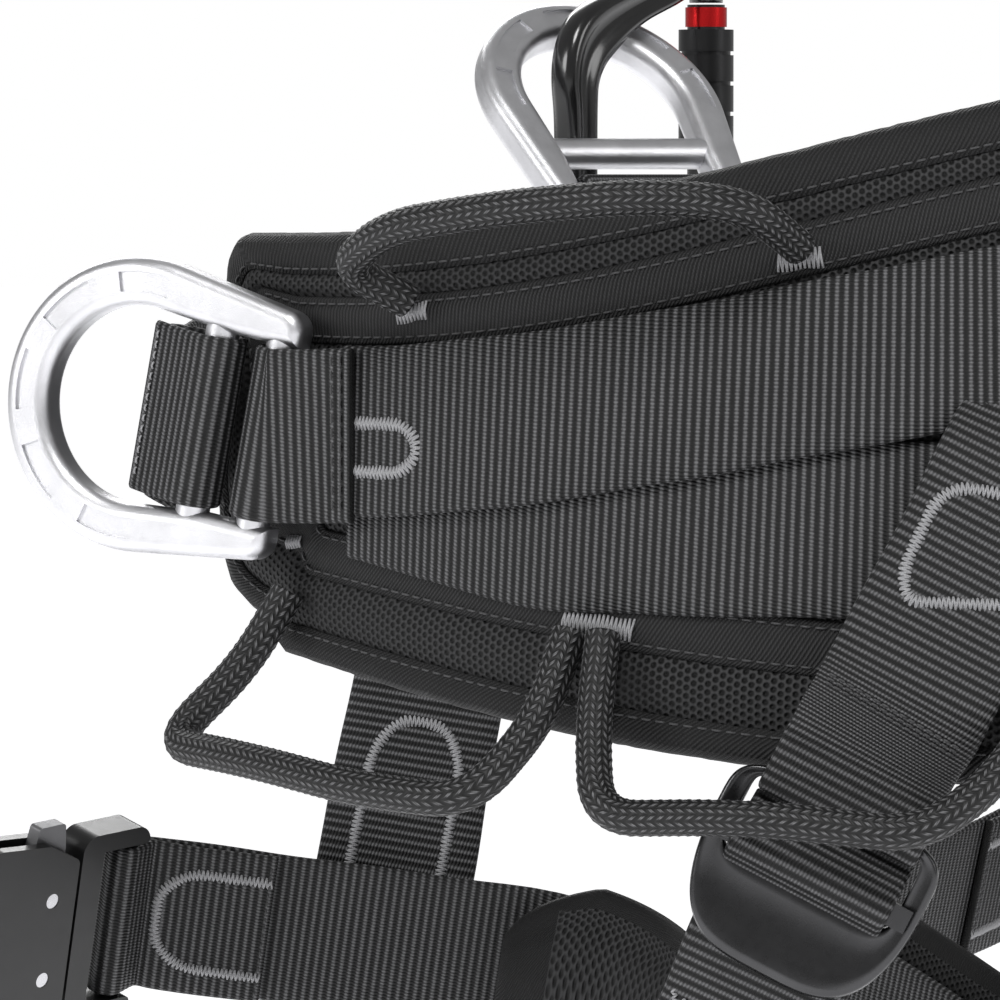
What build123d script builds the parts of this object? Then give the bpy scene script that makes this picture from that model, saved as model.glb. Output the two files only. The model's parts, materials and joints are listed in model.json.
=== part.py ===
"""Tree climbing saddle: padded waist belt, leg loops, gear loops, rings, buckles and a carabiner.

Millimetres, +Z up. The origin is the centre of the waist at the height of the side rings.
The wearer faces -Y and the wearer's left is +X. Left-hand parts are modelled and mirrored in X = 0.
"""
import math
import os

from build123d import *

OUT = "parts"

# Reach of cutting bodies, well past the saddle
BEYOND = 300.0

# Webbing and cord
STRAP_WIDTH = 45.0
STRAP_THICK = 2.5
GAP = 0.4
CORD_RADIUS = 4.6

# Waist: outer face of the pad in plan, tangent arcs from centre back, each a radius and the
# angle of the normal at the arc's end
BACK_Y = 156.0
WAIST_ARCS = ((160.0, 60.0), (232.0, 5.0), (70.0, -60.0), (320.0, -90.0))
PAD_HALF_LENGTH = 336.0
PAD_LEAN = 0.30
LEAN_LENGTH = 330.0
PAD_FOAM = 7.0
SKIN = 1.5
BINDING = 9.0
PAD_STATIONS = 21
PAD_TOP_FRONT = 55.0
PAD_TOP_RISE = 43.0
PAD_TOP_REACH = 300.0
PAD_TOP_POWER = 1.15
PAD_BOTTOM_BACK = -82.0
PAD_BOTTOM_RISE = 36.0
PAD_BOTTOM_REACH = 400.0
PAD_BOTTOM_POWER = 1.6

# Side outline of the pad's front end as (y, z) from the upper corner down, and its corner radii
PAD_END = ((-52.0, 57.0), (-74.0, -18.0), (-46.0, -47.0))
PAD_END_RADII = (8.0, 22.0, 14.0)
PAD_END_MARGIN = ((-10.0, -110.0), (220.0, -110.0), (220.0, 140.0), (-10.0, 140.0))

# Belt webbing, heights at centre back and at the side rings
UPPER_RISE = 34.0
UPPER_AT_RING = 4.0
LOWER_AT_BACK = -18.0
LOWER_AT_RING = -6.0
BELT_END = 262.0
BELT_STATIONS = 19
UPPER_REACH = 275.0
LOWER_TURN_FROM = 190.0
LOWER_TURN_LENGTH = 90.0

# Side rings
RING_HOLE_RADIUS = 26.0
RING_OUTER_RADIUS = 38.6
RING_THICK = 10.5
RING_CENTRE = 38.0
BAR_SPACING = 18.0
BAR_RADIUS = 4.5
ARM_INNER = 23.75
ARM_OUTER = 33.0
RING_EDGE_FILLET = 3.4
RING_FOOT_RADIUS = 5.5
RING_FOOT_SETBACK = 1.0
POCKET_DEPTH = 0.8
POCKET_WIDTH = 5.2
POCKET_WEDGE = (60.0, 14.5)
POCKET_ANGLES = (-86.0, -43.0, 0.0, 43.0, 86.0)
SIDE_BAR = (203.5, -25.0, 3.0)
SIDE_RING_AZIMUTH = -56.0
SIDE_RING_TILT = 11.0

# Webbing loops of the side rings: direction from the bar, reach and half thickness of the tail
REAR_LOOP = ((-0.93, 0.30), 24.0, 2.6)
FRONT_LOOP = ((1.0, -0.25), 20.0, 3.0)

# Front ring and carabiner
FRONT_BAR = (0.0, -184.0, 76.0)
FRONT_RING_LEAN = 45.0
CARABINER_SPINE = (5.5, -203.5)
CARABINER_GATE = (-51.0, -223.0)
CARABINER_TOP = 131.0
CARABINER_LENGTH = 114.0
ROD_RADIUS = 5.2
SLEEVE_RADIUS = 8.2

# Front belt in plan, from the side ring's bar to the front centre
FRONT_BELT_Z = (3.0, 24.0)

# Leg loops: plane of the loop and its outline in plan, from the buckle's front corner
LEG_ORIGIN = (150.0, -200.0, -138.0)
LEG_SLOPE_X = -0.02
LEG_SLOPE_Y = -0.33
LEG_OUTLINE = ((0.0, 0.0, 14.0), (101.0, 27.0, 40.0), (94.0, 185.0, 75.0), (0.0, 300.0, 70.0),
               (-112.0, 205.0, 75.0), (-124.0, 70.0, 50.0))
LEG_PAD_THICK = 11.0
LEG_PAD_HEIGHT = (-42.0, 24.0)
LEG_PAD_CORNER = 20.0

# Quick buckles
BUCKLE_HEIGHT = 58.0
BUCKLE_THICK = 11.0
PLATE = 4.2
LEVER_PIVOT = (-9.0, 12.0)
MALE_LENGTH = 24.0
FEMALE_LENGTH = 52.0

# Rear adjusters
ADJUSTER_CENTRE = (131.0, 128.0, -98.0)
ADJUSTER_PLATE = 3.0

# Gear loops: route of each left-hand loop as (s, height, distance off the pad)
PATH_RADIUS_MOST = 40.0
GEAR_LOOPS = {
    "upper_gear_loop": ((244, 38, 5.6), (251, 47, 22), (232, 57, 32), (202, 62, 34), (168, 65, 34),
                        (146, 63, 27), (137, 52, 5.6)),
    "front_gear_loop": ((285, -38, 5.6), (290, -57, 16), (299, -77, 34), (266, -79, 35), (232, -84, 36),
                        (203, -86, 33), (194, -66, 16), (192, -45, 5.6)),
    "rear_gear_loop": ((183, -45, 5.6), (181, -68, 14), (175, -89, 24), (140, -87, 27), (104, -91, 24),
                       (88, -78, 15), (74, -56, 5.6)),
}

# Front belt and waist buckle
FRONT_BELT_RISE = (-68.0, -140.0)
FRONT_BELT_BACK = 20.0
FRONT_BELT_LEFT = ((207.0, -69.0), (184.0, -112.0), (118.0, -152.0), (14.0, -164.0), (-84.0, -159.5))
FRONT_BELT_RADII = (30.0, 60.0, 60.0)
FRONT_BELT_RIGHT = ((207.0, -69.0), (201.0, -104.0), (196.0, -124.0))
FRONT_BELT_RIGHT_RADII = (20.0,)
WAIST_BUCKLE_ENDS = ((-92.0, -160.0, 24.0), (-170.0, -141.5, 24.0))
FRONT_LOOP_DROP = 28.0

# Quick buckle details
MALE_BAR = 21.5
FEMALE_BAR = -45.0
BUCKLE_BAR_RADIUS = 3.4
LOOP_REACH = 12.0
BUCKLE_TRAVEL = 20.0
TONGUE_LENGTH = 25.0
TONGUE_WIDTH = 14.0
SCREW_RADIUS = 2.2
LEVER_OUTLINE = ((-25.0, 7.8), (-14.0, 7.8), (-4.0, 8.5), (-3.5, 26.0), (-4.5, 33.5), (-14.0, 33.5),
                 (-16.0, 22.0), (-25.0, 14.0))
LEG_BUCKLE_SETBACK = 10.0
FRAME_WINDOW = 18.0
FEMALE_WINDOW = 17.0
FEMALE_MOUTH = 30.0
SCREW_HEAD = 1.4
SCREW_SOCKET = 1.5

# Leg pad, lifters and adjuster
LEG_PAD_SECTOR = ((-82.0, 40.0), (-50.0, 110.0), (30.0, 200.0), (70.0, 240.0), (90.0, 400.0),
                  (-200.0, 400.0), (-260.0, 20.0))
FRONT_LIFTER = ((62.0, -165.0, 2.0), (87.0, -166.0, -126.0))
LIFTER_ACROSS = (-0.87, 0.49, 0.0)
REAR_STRAP_TOP = (77.0, -66.0, 4.0)
REAR_STRAP_SLANT = 27.0
REAR_STRAP_OFF = 3.6
REAR_STRAP_REACH = (60.0, 75.0)
REAR_STRAP_STATIONS = 9
ADJUSTER_S = 122.0
ADJUSTER_WIDTH = 58.0
ADJUSTER_LENGTH = 48.0
ADJUSTER_WINDOW = (46.5, 21.0)
ADJUSTER_BEVEL = 0.6
SLIDE_BAR_Y = -4.0
REAR_LIFTER_FOOT = (150.0, 74.0, -206.0)

# Carabiner details, heights below its top
GATE_TOP = -10.0
GATE_BOTTOM = -79.0
GATE_HINGE = -5.0
GATE_GAP = 0.6
GATE_RADIUS = 5.6
EAR_LENGTH = 5.0
SLEEVE_BORE = 6.4
PIN_RADIUS = 1.6
SLEEVE_TOP = -18.0
SLEEVE_BOTTOM = -58.0
SLEEVE_GROOVES = (-25.0, -34.0, -43.0, -52.0)
GROOVE_WIDTH = 1.2
GROOVE_DEPTH = 0.9

# Bar tacks on the belt: (s, height, half length, half height, distance off the pad)
BELT_TACKS = ((243.5, 36.0, 5.5, 2.2, 0.3), (137.0, 50.5, 5.5, 2.5, 0.3), (186.5, -43.0, 9.0, 2.5, 0.3),
              (276.0, -30.0, 3.0, 2.0, 0.3), (250.0, 7.5, 11.0, 1.3, 6.0), (250.0, -6.0, 11.0, 1.3, 6.0),
              (238.0, 0.5, 1.3, 5.0, 6.0))
TACK_THICK = 0.5


def plan_point(s, off=0.0):
    """Point and outward normal angle on the waist curve, s along it from centre back."""
    side = 1.0 if s >= 0 else -1.0
    run = abs(s)
    x, y, normal = 0.0, BACK_Y, 90.0
    for radius, end in WAIST_ARCS:
        cx = x - radius * math.cos(math.radians(normal))
        cy = y - radius * math.sin(math.radians(normal))
        length = radius * math.radians(normal - end)
        at = math.radians(normal) - min(run, length) / radius
        if run <= length or end == WAIST_ARCS[-1][1]:
            px = cx + (radius + off) * math.cos(at)
            py = cy + (radius + off) * math.sin(at)
            return side * px, py, math.degrees(at)
        run -= length
        x = cx + radius * math.cos(math.radians(end))
        y = cy + radius * math.sin(math.radians(end))
        normal = end


def bell(s, length):
    """1 at centre back, falling smoothly to 0 at the given distance along the belt."""
    return 0.5 + 0.5 * math.cos(math.pi * min(abs(s) / length, 1.0))


def on_pad(s, z, off=0.0):
    """Point at height z on the pad's outer face, which leans in towards its top at the back."""
    x, y, _ = plan_point(s, off - PAD_LEAN * bell(s, LEAN_LENGTH) * z)
    return Vector(x, y, z)


def pad_top(s):
    return PAD_TOP_FRONT + PAD_TOP_RISE * bell(s, PAD_TOP_REACH) ** PAD_TOP_POWER


def pad_bottom(s):
    return PAD_BOTTOM_BACK + PAD_BOTTOM_RISE * (1.0 - bell(s, PAD_BOTTOM_REACH)) ** PAD_BOTTOM_POWER


def upper_centre(s):
    return UPPER_AT_RING + UPPER_RISE * bell(s, UPPER_REACH)


def lower_centre(s):
    turned = bell(max(abs(s) - LOWER_TURN_FROM, 0.0), LOWER_TURN_LENGTH)
    return LOWER_AT_RING + (LOWER_AT_BACK - LOWER_AT_RING) * turned


def ribbon(s_from, s_to, stations, low, high, inner, outer):
    """Band that follows the pad's face between two heights and two offsets from it."""
    sections = []
    for i in range(stations):
        s = s_from + (s_to - s_from) * i / (stations - 1)
        corners = [on_pad(s, low(s), inner), on_pad(s, high(s), inner)]
        corners += [on_pad(s, high(s), outer), on_pad(s, low(s), outer)]
        sections.append(make_face(Polyline(*corners, close=True)))
    return loft(sections)


def side_prism(points, radii):
    """Prism along X through the whole belt, from a side-view outline of (y, z) points."""
    face = make_face(Plane.YZ * Polyline(*points, close=True))
    for (y, z), radius in zip(points, radii):
        if radius > 0:
            corner = min(face.vertices(), key=lambda v: (v.Y - y) ** 2 + (v.Z - z) ** 2)
            face = fillet(corner, radius)
    return extrude(face, BEYOND, both=True)


def pad_outline(inset):
    """Side outline that rounds the pad's front ends; the back runs past the pad."""
    upper, front, lower = PAD_END
    points = [(upper[0] + inset, upper[1] + 33.0), (upper[0] + inset, upper[1])]
    points += [(front[0] + inset, front[1]), (lower[0] + inset, lower[1] + inset), *PAD_END_MARGIN]
    return side_prism(points, (0, *PAD_END_RADII, 0, 0, 0, 0))


def pad_layer(inner, outer, inset):
    """One full layer of the waist pad, inset evenly from its edge."""
    band = ribbon(-PAD_HALF_LENGTH, PAD_HALF_LENGTH, PAD_STATIONS, lambda s: pad_bottom(s) + inset,
                  lambda s: pad_top(s) - inset, inner, outer)
    return band & pad_outline(inset)


def waist_pad(nodes):
    lining_in = -2 * SKIN - PAD_FOAM
    nodes["pad_inner_lining"] = pad_layer(lining_in, lining_in + SKIN, BINDING)
    nodes["pad_foam_core"] = pad_layer(lining_in + SKIN, -SKIN, BINDING)
    nodes["pad_outer_shell"] = pad_layer(-SKIN, 0.0, BINDING)
    rim = pad_layer(lining_in - 0.5, 0.5, 0.0)
    nodes["pad_edge_binding"] = rim - pad_layer(lining_in - 2.0, 2.0, BINDING - GAP)


def belt_webbing(nodes):
    half = STRAP_WIDTH / 2 - 1.0
    first = GAP
    second = first + STRAP_THICK + GAP
    nodes["lower_belt_webbing"] = ribbon(-BELT_END, BELT_END, BELT_STATIONS, lambda s: lower_centre(s) - half,
                                         lambda s: lower_centre(s) + half, first, first + STRAP_THICK)
    nodes["upper_belt_webbing"] = ribbon(-BELT_END, BELT_END, BELT_STATIONS, lambda s: upper_centre(s) - half,
                                         lambda s: upper_centre(s) + half, second, second + STRAP_THICK)


def ring_plate():
    """Forged ring in its own plane: +X to the crown, bars along Y, the rear bar on the origin."""
    crown = Pos(RING_CENTRE, 0) * Circle(RING_OUTER_RADIUS)
    foot_y = ARM_OUTER - RING_FOOT_RADIUS
    feet = [Pos(-RING_FOOT_SETBACK, y) * Circle(RING_FOOT_RADIUS) for y in (foot_y, -foot_y)]
    outline = make_hull(crown.edges() + feet[0].edges() + feet[1].edges())
    hole = Pos(RING_CENTRE, 0) * Circle(RING_HOLE_RADIUS)
    mouth = Pos(BAR_SPACING, 0) * Rectangle(8.0, 2 * ARM_INNER)
    opening = make_hull(hole.edges() + mouth.edges())
    slot = Pos(2.0, 0) * Rectangle(2 * BAR_SPACING, 2 * ARM_INNER)
    return extrude(outline - opening - slot, RING_THICK / 2, both=True)


def ring():
    """Ring with rounded edges, two bars and five shallow pockets on each face."""
    plate = ring_plate()
    rims = plate.edges().filter_by(lambda e: abs(abs(e.center().Z) - RING_THICK / 2) < 0.01)
    body = fillet(rims, RING_EDGE_FILLET)
    for x in (0.0, BAR_SPACING):
        body += Pos(x, 0, 0) * Rot(90, 0, 0) * Cylinder(BAR_RADIUS, 2 * ARM_INNER + 8.0)
    mid = (RING_HOLE_RADIUS + RING_OUTER_RADIUS) / 2
    pocket_face = Circle(mid + POCKET_WIDTH / 2) - Circle(mid - POCKET_WIDTH / 2)
    reach, spread = POCKET_WEDGE
    wedge = make_face(Polyline((0, 0), (reach, -spread), (reach, spread), close=True))
    for angle in POCKET_ANGLES:
        sector = Rot(0, 0, angle) * (pocket_face & wedge)
        for z in (RING_THICK / 2 - POCKET_DEPTH, -RING_THICK / 2 - 1.0):
            body -= Pos(RING_CENTRE, 0, z) * extrude(sector, POCKET_DEPTH + 1.0)
    return body


def side_ring_plane():
    azimuth = math.radians(SIDE_RING_AZIMUTH)
    tilt = math.radians(SIDE_RING_TILT)
    crown = Vector(math.cos(azimuth) * math.cos(tilt), math.sin(azimuth) * math.cos(tilt), math.sin(tilt))
    outward = Vector(-math.sin(azimuth), math.cos(azimuth), 0)
    return Plane(origin=SIDE_BAR, x_dir=crown, z_dir=outward)


def bar_loop(direction, reach, tail_half):
    """Webbing looped round a bar on the origin, closing to a sewn tail along a direction in XY."""
    inner = BAR_RADIUS + 0.8
    tail = Pos(direction[0] * reach, direction[1] * reach)
    turn = Rot(0, 0, math.degrees(math.atan2(direction[1], direction[0])))
    skin = tail * turn * Rectangle(2.0, 2 * tail_half)
    hollow = tail * turn * Rectangle(1.0, 0.4)
    solid = make_hull(Circle(inner + STRAP_THICK).edges() + skin.edges())
    space = make_hull(Circle(inner).edges() + hollow.edges())
    face = solid - space
    return extrude(face, STRAP_WIDTH / 2 - 0.5, both=True)


def side_rings(nodes):
    plane = side_ring_plane()
    left = plane * ring()
    nodes["left_side_ring"] = left
    # The bar runs along the plane's Y, so the loop's profile lies in its XZ
    profile = plane * Rot(90, 0, 0)
    nodes["left_rear_ring_loop"] = profile * bar_loop(*REAR_LOOP)
    nodes["left_front_ring_loop"] = profile * Pos(BAR_SPACING, 0, 0) * bar_loop(*FRONT_LOOP)
    for name in ("side_ring", "rear_ring_loop", "front_ring_loop"):
        nodes["right_" + name] = nodes["left_" + name].mirror(Plane.YZ)


def smooth_path(points):
    """Runs joined by arcs as large as the runs allow."""
    radii = []
    for before, here, after in zip(points, points[1:], points[2:]):
        turn = (here - before).get_angle(after - here)
        run = min((here - before).length, (after - here).length)
        radii.append(min(PATH_RADIUS_MOST, 0.45 * run / math.tan(math.radians(turn) / 2)))
    return FilletPolyline(*points, radius=radii)


def tube(points, radius):
    path = smooth_path(points)
    section = Plane(origin=path @ 0, z_dir=path % 0) * Circle(radius)
    return sweep(section, path=path)


def gear_loops(nodes):
    """Three stiff braided loops on each side, sewn to the pad at both ends."""
    for name, route in GEAR_LOOPS.items():
        left = tube([on_pad(s, z, off) for s, z, off in route], CORD_RADIUS)
        nodes["left_" + name] = left
        nodes["right_" + name] = left.mirror(Plane.YZ)


def strap_between(start, end, width_axis, width=STRAP_WIDTH):
    """Flat strap from one point to another, its width along the given axis."""
    along = (end - start).normalized()
    across = (width_axis - along * width_axis.dot(along)).normalized()
    plane = Plane(origin=start, x_dir=across, z_dir=along)
    return extrude(plane * Rectangle(width, STRAP_THICK), (end - start).length)


def front_belt_band(points, radii):
    """Front belt strap along a plan path, rising from the side ring to the front centre."""
    path = FilletPolyline(*[Vector(x, y, 0) for x, y in points], radius=radii)
    start = Plane(origin=path @ 0, z_dir=path % 0, x_dir=(0, 0, 1))
    low, high = FRONT_BELT_Z
    tall = sweep(start * Rectangle(BEYOND, STRAP_THICK), path=path)
    half = STRAP_WIDTH / 2
    low_y, high_y = FRONT_BELT_RISE
    profile = ((high_y, high + half), (low_y, low + half), (FRONT_BELT_BACK, low + half),
               (FRONT_BELT_BACK, low - half), (low_y, low - half), (high_y, high - half),
               (-BEYOND, high - half), (-BEYOND, high + half))
    return tall & side_prism(profile, (0,) * len(profile))


def waist_buckle_plane():
    """Quick buckle on the wearer's right of the front ring: X from the female half to the male half."""
    start, end = Vector(*WAIST_BUCKLE_ENDS[0]), Vector(*WAIST_BUCKLE_ENDS[1])
    along = (start - end).normalized()
    outward = Vector(along.Y, -along.X, 0)
    if outward.Y > 0:
        outward = outward * -1
    return Plane(origin=start - along * MALE_BAR, x_dir=along, z_dir=outward)


def front_belt(nodes):
    left = front_belt_band(FRONT_BELT_LEFT, FRONT_BELT_RADII)
    plane = waist_buckle_plane()
    nodes["left_front_belt"] = left + plane * end_loop(MALE_BAR, 1.0)
    right_points = [(-x, y) for x, y in FRONT_BELT_RIGHT]
    nodes["right_front_belt"] = front_belt_band(right_points, FRONT_BELT_RIGHT_RADII)
    nodes["waist_buckle_strap_end"] = plane * end_loop(FEMALE_BAR, -1.0)
    quick_buckle(nodes, "waist", plane)


def end_loop(bar_x, away):
    """Webbing end looped round a buckle's bar, in the buckle's own frame."""
    inner = BUCKLE_BAR_RADIUS + 0.6
    tail = Pos(bar_x + away * LOOP_REACH, 0) * Rectangle(1.0, 2 * STRAP_THICK)
    hollow = Pos(bar_x + away * (LOOP_REACH - 3.0), 0) * Rectangle(0.5, 0.3)
    solid = make_hull((Pos(bar_x, 0) * Circle(inner + STRAP_THICK)).edges() + tail.edges())
    space = make_hull((Pos(bar_x, 0) * Circle(inner)).edges() + hollow.edges())
    loop = extrude(solid - space, STRAP_WIDTH / 2, both=True)
    return Rot(90, 0, 0) * loop


def quick_buckle(nodes, name, plane):
    """Two-lever quick buckle: X from the female half to the male half, Y up, Z outward."""
    half = BUCKLE_HEIGHT / 2
    frame = Pos(13.5, 0) * RectangleRounded(MALE_LENGTH + 1.0, BUCKLE_HEIGHT, 5.0)
    frame -= Pos(18.0, 0) * Rectangle(FRAME_WINDOW, STRAP_WIDTH + 2.0)
    male = extrude(frame, BUCKLE_THICK / 2 - 0.5, both=True)
    male = fillet(male.edges().filter_by(GeomType.LINE).filter_by(Axis.Z).group_by(Axis.X)[-1], 1.5)
    male += Pos(MALE_BAR, 0, 0) * Rot(90, 0, 0) * Cylinder(BUCKLE_BAR_RADIUS, STRAP_WIDTH + 8.0)
    tongue = Pos(-TONGUE_LENGTH / 2 + 1.0, 0) * RectangleRounded(TONGUE_LENGTH + 2.0, TONGUE_WIDTH, 3.0)
    male += extrude(tongue, PLATE / 2, both=True)
    nodes[name + "_buckle_male"] = plane * male

    points = ((-0.5, half - 6.0), (-12.0, half), (-30.0, half + 1.5), (-44.0, half - 2.0),
              (-FEMALE_LENGTH, half - 5.0))
    lower = [(x, -y) for x, y in reversed(points)]
    outline = make_face(Polyline(*points, *lower, close=True))
    outline = fillet(outline.vertices(), 2.5)
    outline -= Pos(FEMALE_BAR - 1.0, 0) * Rectangle(FEMALE_WINDOW, STRAP_WIDTH + 2.0)
    female = extrude(outline, BUCKLE_THICK / 2, both=True)
    female += Pos(FEMALE_BAR, 0, 0) * Rot(90, 0, 0) * Cylinder(BUCKLE_BAR_RADIUS, STRAP_WIDTH + 8.0)
    female -= Pos(-14.0, 0, 0) * Box(FEMALE_MOUTH, BUCKLE_HEIGHT + 8.0, PLATE + 0.8)
    pivots = [Pos(LEVER_PIVOT[0], side * LEVER_PIVOT[1], 0) for side in (1, -1)]
    screws = []
    for pivot in pivots:
        female -= pivot * Cylinder(SCREW_RADIUS + 0.05, BEYOND)
        female -= pivot * Pos(0, 0, BUCKLE_THICK / 2) * Cylinder(SCREW_RADIUS + SCREW_HEAD + 0.2, 2.4)
        screw = Cylinder(SCREW_RADIUS, BUCKLE_THICK - 0.4)
        screw += Pos(0, 0, BUCKLE_THICK / 2 - 0.3) * Cylinder(SCREW_RADIUS + SCREW_HEAD, 1.6)
        socket = extrude(RegularPolygon(SCREW_SOCKET, 6), 2.0)
        screw -= Pos(0, 0, BUCKLE_THICK / 2 - 0.9) * socket
        screws.append(pivot * screw)
    nodes[name + "_buckle_female"] = plane * female
    nodes[name + "_buckle_screws"] = plane * (screws[0] + screws[1])

    lever = make_face(Polyline(*LEVER_OUTLINE, close=True))
    lever = fillet(lever.vertices(), 1.2)
    lever -= Pos(*LEVER_PIVOT) * Circle(SCREW_RADIUS + 0.08)
    solid = extrude(lever, PLATE / 2, both=True)
    nodes[name + "_buckle_upper_lever"] = plane * solid
    nodes[name + "_buckle_lower_lever"] = plane * solid.mirror(Plane.XZ)


def leg_plane():
    normal = Vector(-LEG_SLOPE_X, -LEG_SLOPE_Y, 1.0).normalized()
    return Plane(origin=LEG_ORIGIN, x_dir=(1.0, 0, LEG_SLOPE_X), z_dir=normal)


def leg_outline(offset_by):
    """Closed loop face in the loop's plane, grown outward or inward."""
    face = make_face(Polyline(*[(x, y) for x, y, _ in LEG_OUTLINE], close=True))
    for x, y, radius in LEG_OUTLINE:
        corner = min(face.vertices(), key=lambda v: (v.X - x) ** 2 + (v.Y - y) ** 2)
        face = fillet(corner, radius)
    return offset(face, offset_by) if offset_by else face


def leg_buckle_local():
    """Buckle frame in the loop's plane: its male bar near the outline's front corner."""
    corner, side = Vector(*LEG_OUTLINE[0][:2]), Vector(*LEG_OUTLINE[1][:2])
    along = (side - corner).normalized()
    origin = corner + along * (MALE_BAR + LEG_BUCKLE_SETBACK)
    return Plane(origin=(origin.X, origin.Y, 0), x_dir=(-along.X, -along.Y, 0), z_dir=(along.Y, -along.X, 0))


def left_leg(nodes):
    plane = leg_plane()
    buckle = leg_buckle_local()
    world = Plane(plane.location * buckle.location)
    band = extrude(leg_outline(STRAP_THICK / 2) - leg_outline(-STRAP_THICK / 2), STRAP_WIDTH / 2, both=True)
    cut_from = MALE_BAR + LOOP_REACH - 0.6
    cut_to = FEMALE_BAR - LOOP_REACH - BUCKLE_TRAVEL - 1.0
    room = Pos((cut_from + cut_to) / 2, 0, 0) * Box(cut_from - cut_to, 80.0, 40.0)
    band -= buckle * room
    nodes["left_leg_strap"] = plane * (band + buckle * end_loop(MALE_BAR, 1.0))
    nodes["left_leg_buckle_strap_end"] = world * end_loop(FEMALE_BAR, -1.0)
    quick_buckle(nodes, "left_leg", world)

    inside = -STRAP_THICK / 2 - GAP
    ring_face = leg_outline(inside) - leg_outline(inside - LEG_PAD_THICK)
    sector = make_face(Polyline(*LEG_PAD_SECTOR, close=True))
    low, high = LEG_PAD_HEIGHT
    pad = Pos(0, 0, low) * extrude(ring_face & sector, high - low)
    through = pad.edges().filter_by(GeomType.LINE).filter_by(lambda e: e.length < LEG_PAD_THICK + 3.0)
    pad = fillet(through, LEG_PAD_CORNER)
    nodes["left_leg_pad"] = plane * pad

    facing = Vector(*LIFTER_ACROSS)
    nodes["left_front_lifter"] = strap_between(Vector(*FRONT_LIFTER[0]), Vector(*FRONT_LIFTER[1]), facing)


def adjuster_plane():
    """X across the strap, Y up the strap, Z away from the wearer."""
    _, _, normal = plan_point(ADJUSTER_S)
    normal = math.radians(normal)
    forward = Vector(math.sin(normal), -math.cos(normal), 0)
    slant = math.radians(REAR_STRAP_SLANT)
    across = forward * math.cos(slant) + Vector(0, 0, 1) * math.sin(slant)
    outward = Vector(math.cos(normal), math.sin(normal), 0)
    return Plane(origin=ADJUSTER_CENTRE, x_dir=across * -1, z_dir=outward)


def rear_lifter(nodes):
    """Strap from the back of the belt through a frame adjuster to the back of the leg loop."""
    s_mid, low, high = REAR_STRAP_TOP
    back, ahead = REAR_STRAP_REACH
    band = ribbon(s_mid - back, s_mid + ahead, REAR_STRAP_STATIONS, lambda s: low - 5.0,
                  lambda s: high, REAR_STRAP_OFF, REAR_STRAP_OFF + STRAP_THICK)
    x, y, normal = plan_point(s_mid)
    angle = math.radians(normal)
    outward = Vector(math.cos(angle), math.sin(angle), 0)
    top = Plane(origin=(x, y, high), x_dir=(-math.sin(angle), math.cos(angle), 0), z_dir=outward)
    half = STRAP_WIDTH / 2 / math.cos(math.radians(REAR_STRAP_SLANT))
    drop = high - low
    shift = drop * math.tan(math.radians(REAR_STRAP_SLANT))
    window = Polyline((-half, 5.0), (half, 5.0), (half - shift, -drop), (-half - shift, -drop), close=True)
    prism = extrude(top * make_face(window), 90.0, both=True)
    nodes["left_rear_lifter_upper"] = band & prism

    plane = adjuster_plane()
    outline = Pos(0, -3.5) * RectangleRounded(ADJUSTER_WIDTH, ADJUSTER_LENGTH - 10.0, 8.0)
    outline += Pos(0, -14.0) * Ellipse(ADJUSTER_WIDTH / 2, ADJUSTER_LENGTH / 2 - 6.0)
    outline -= Pos(0, 1.5) * RectangleRounded(ADJUSTER_WINDOW[0], ADJUSTER_WINDOW[1], 1.5)
    frame = extrude(outline, ADJUSTER_PLATE / 2, both=True)
    frame = chamfer(frame.faces().sort_by(Axis.Z)[-1].outer_wire().edges(), ADJUSTER_BEVEL)
    nodes["left_adjuster_frame"] = plane * frame
    bar = Pos(0, SLIDE_BAR_Y, ADJUSTER_PLATE / 2 + 1.7) * Box(ADJUSTER_WIDTH - 4.0, 6.0, 2.6)
    bar += Pos(0, SLIDE_BAR_Y, 0) * Box(ADJUSTER_WINDOW[0] - 2.5, 4.0, 4.0)
    nodes["left_adjuster_slide_bar"] = plane * bar

    start = (plane * Pos(0, SLIDE_BAR_Y - 5.0, -4.0)).position
    end = Vector(*REAR_LIFTER_FOOT)
    nodes["left_rear_lifter_lower"] = strap_between(start, end, plane.x_dir, ADJUSTER_WINDOW[0] - 1.5)


def front_ring(nodes):
    lean = math.radians(FRONT_RING_LEAN)
    crown = Vector(0, -math.sin(lean), math.cos(lean))
    rear = Vector(*FRONT_BAR) - crown * BAR_SPACING
    plane = Plane(origin=rear, x_dir=crown, z_dir=(0, math.cos(lean), math.sin(lean)))
    nodes["front_ring"] = plane * ring()
    profile = plane * Rot(90, 0, 0)
    straight_down = (-math.sin(lean), -math.cos(lean))
    nodes["front_ring_webbing_loop"] = profile * bar_loop(straight_down, FRONT_LOOP_DROP, STRAP_THICK)


def carabiner_plane():
    spine, gate = Vector(*CARABINER_SPINE, 0), Vector(*CARABINER_GATE, 0)
    across = (gate - spine).normalized()
    return Plane(origin=(spine.X, spine.Y, CARABINER_TOP), x_dir=across, z_dir=(across.Y, -across.X, 0))


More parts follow.
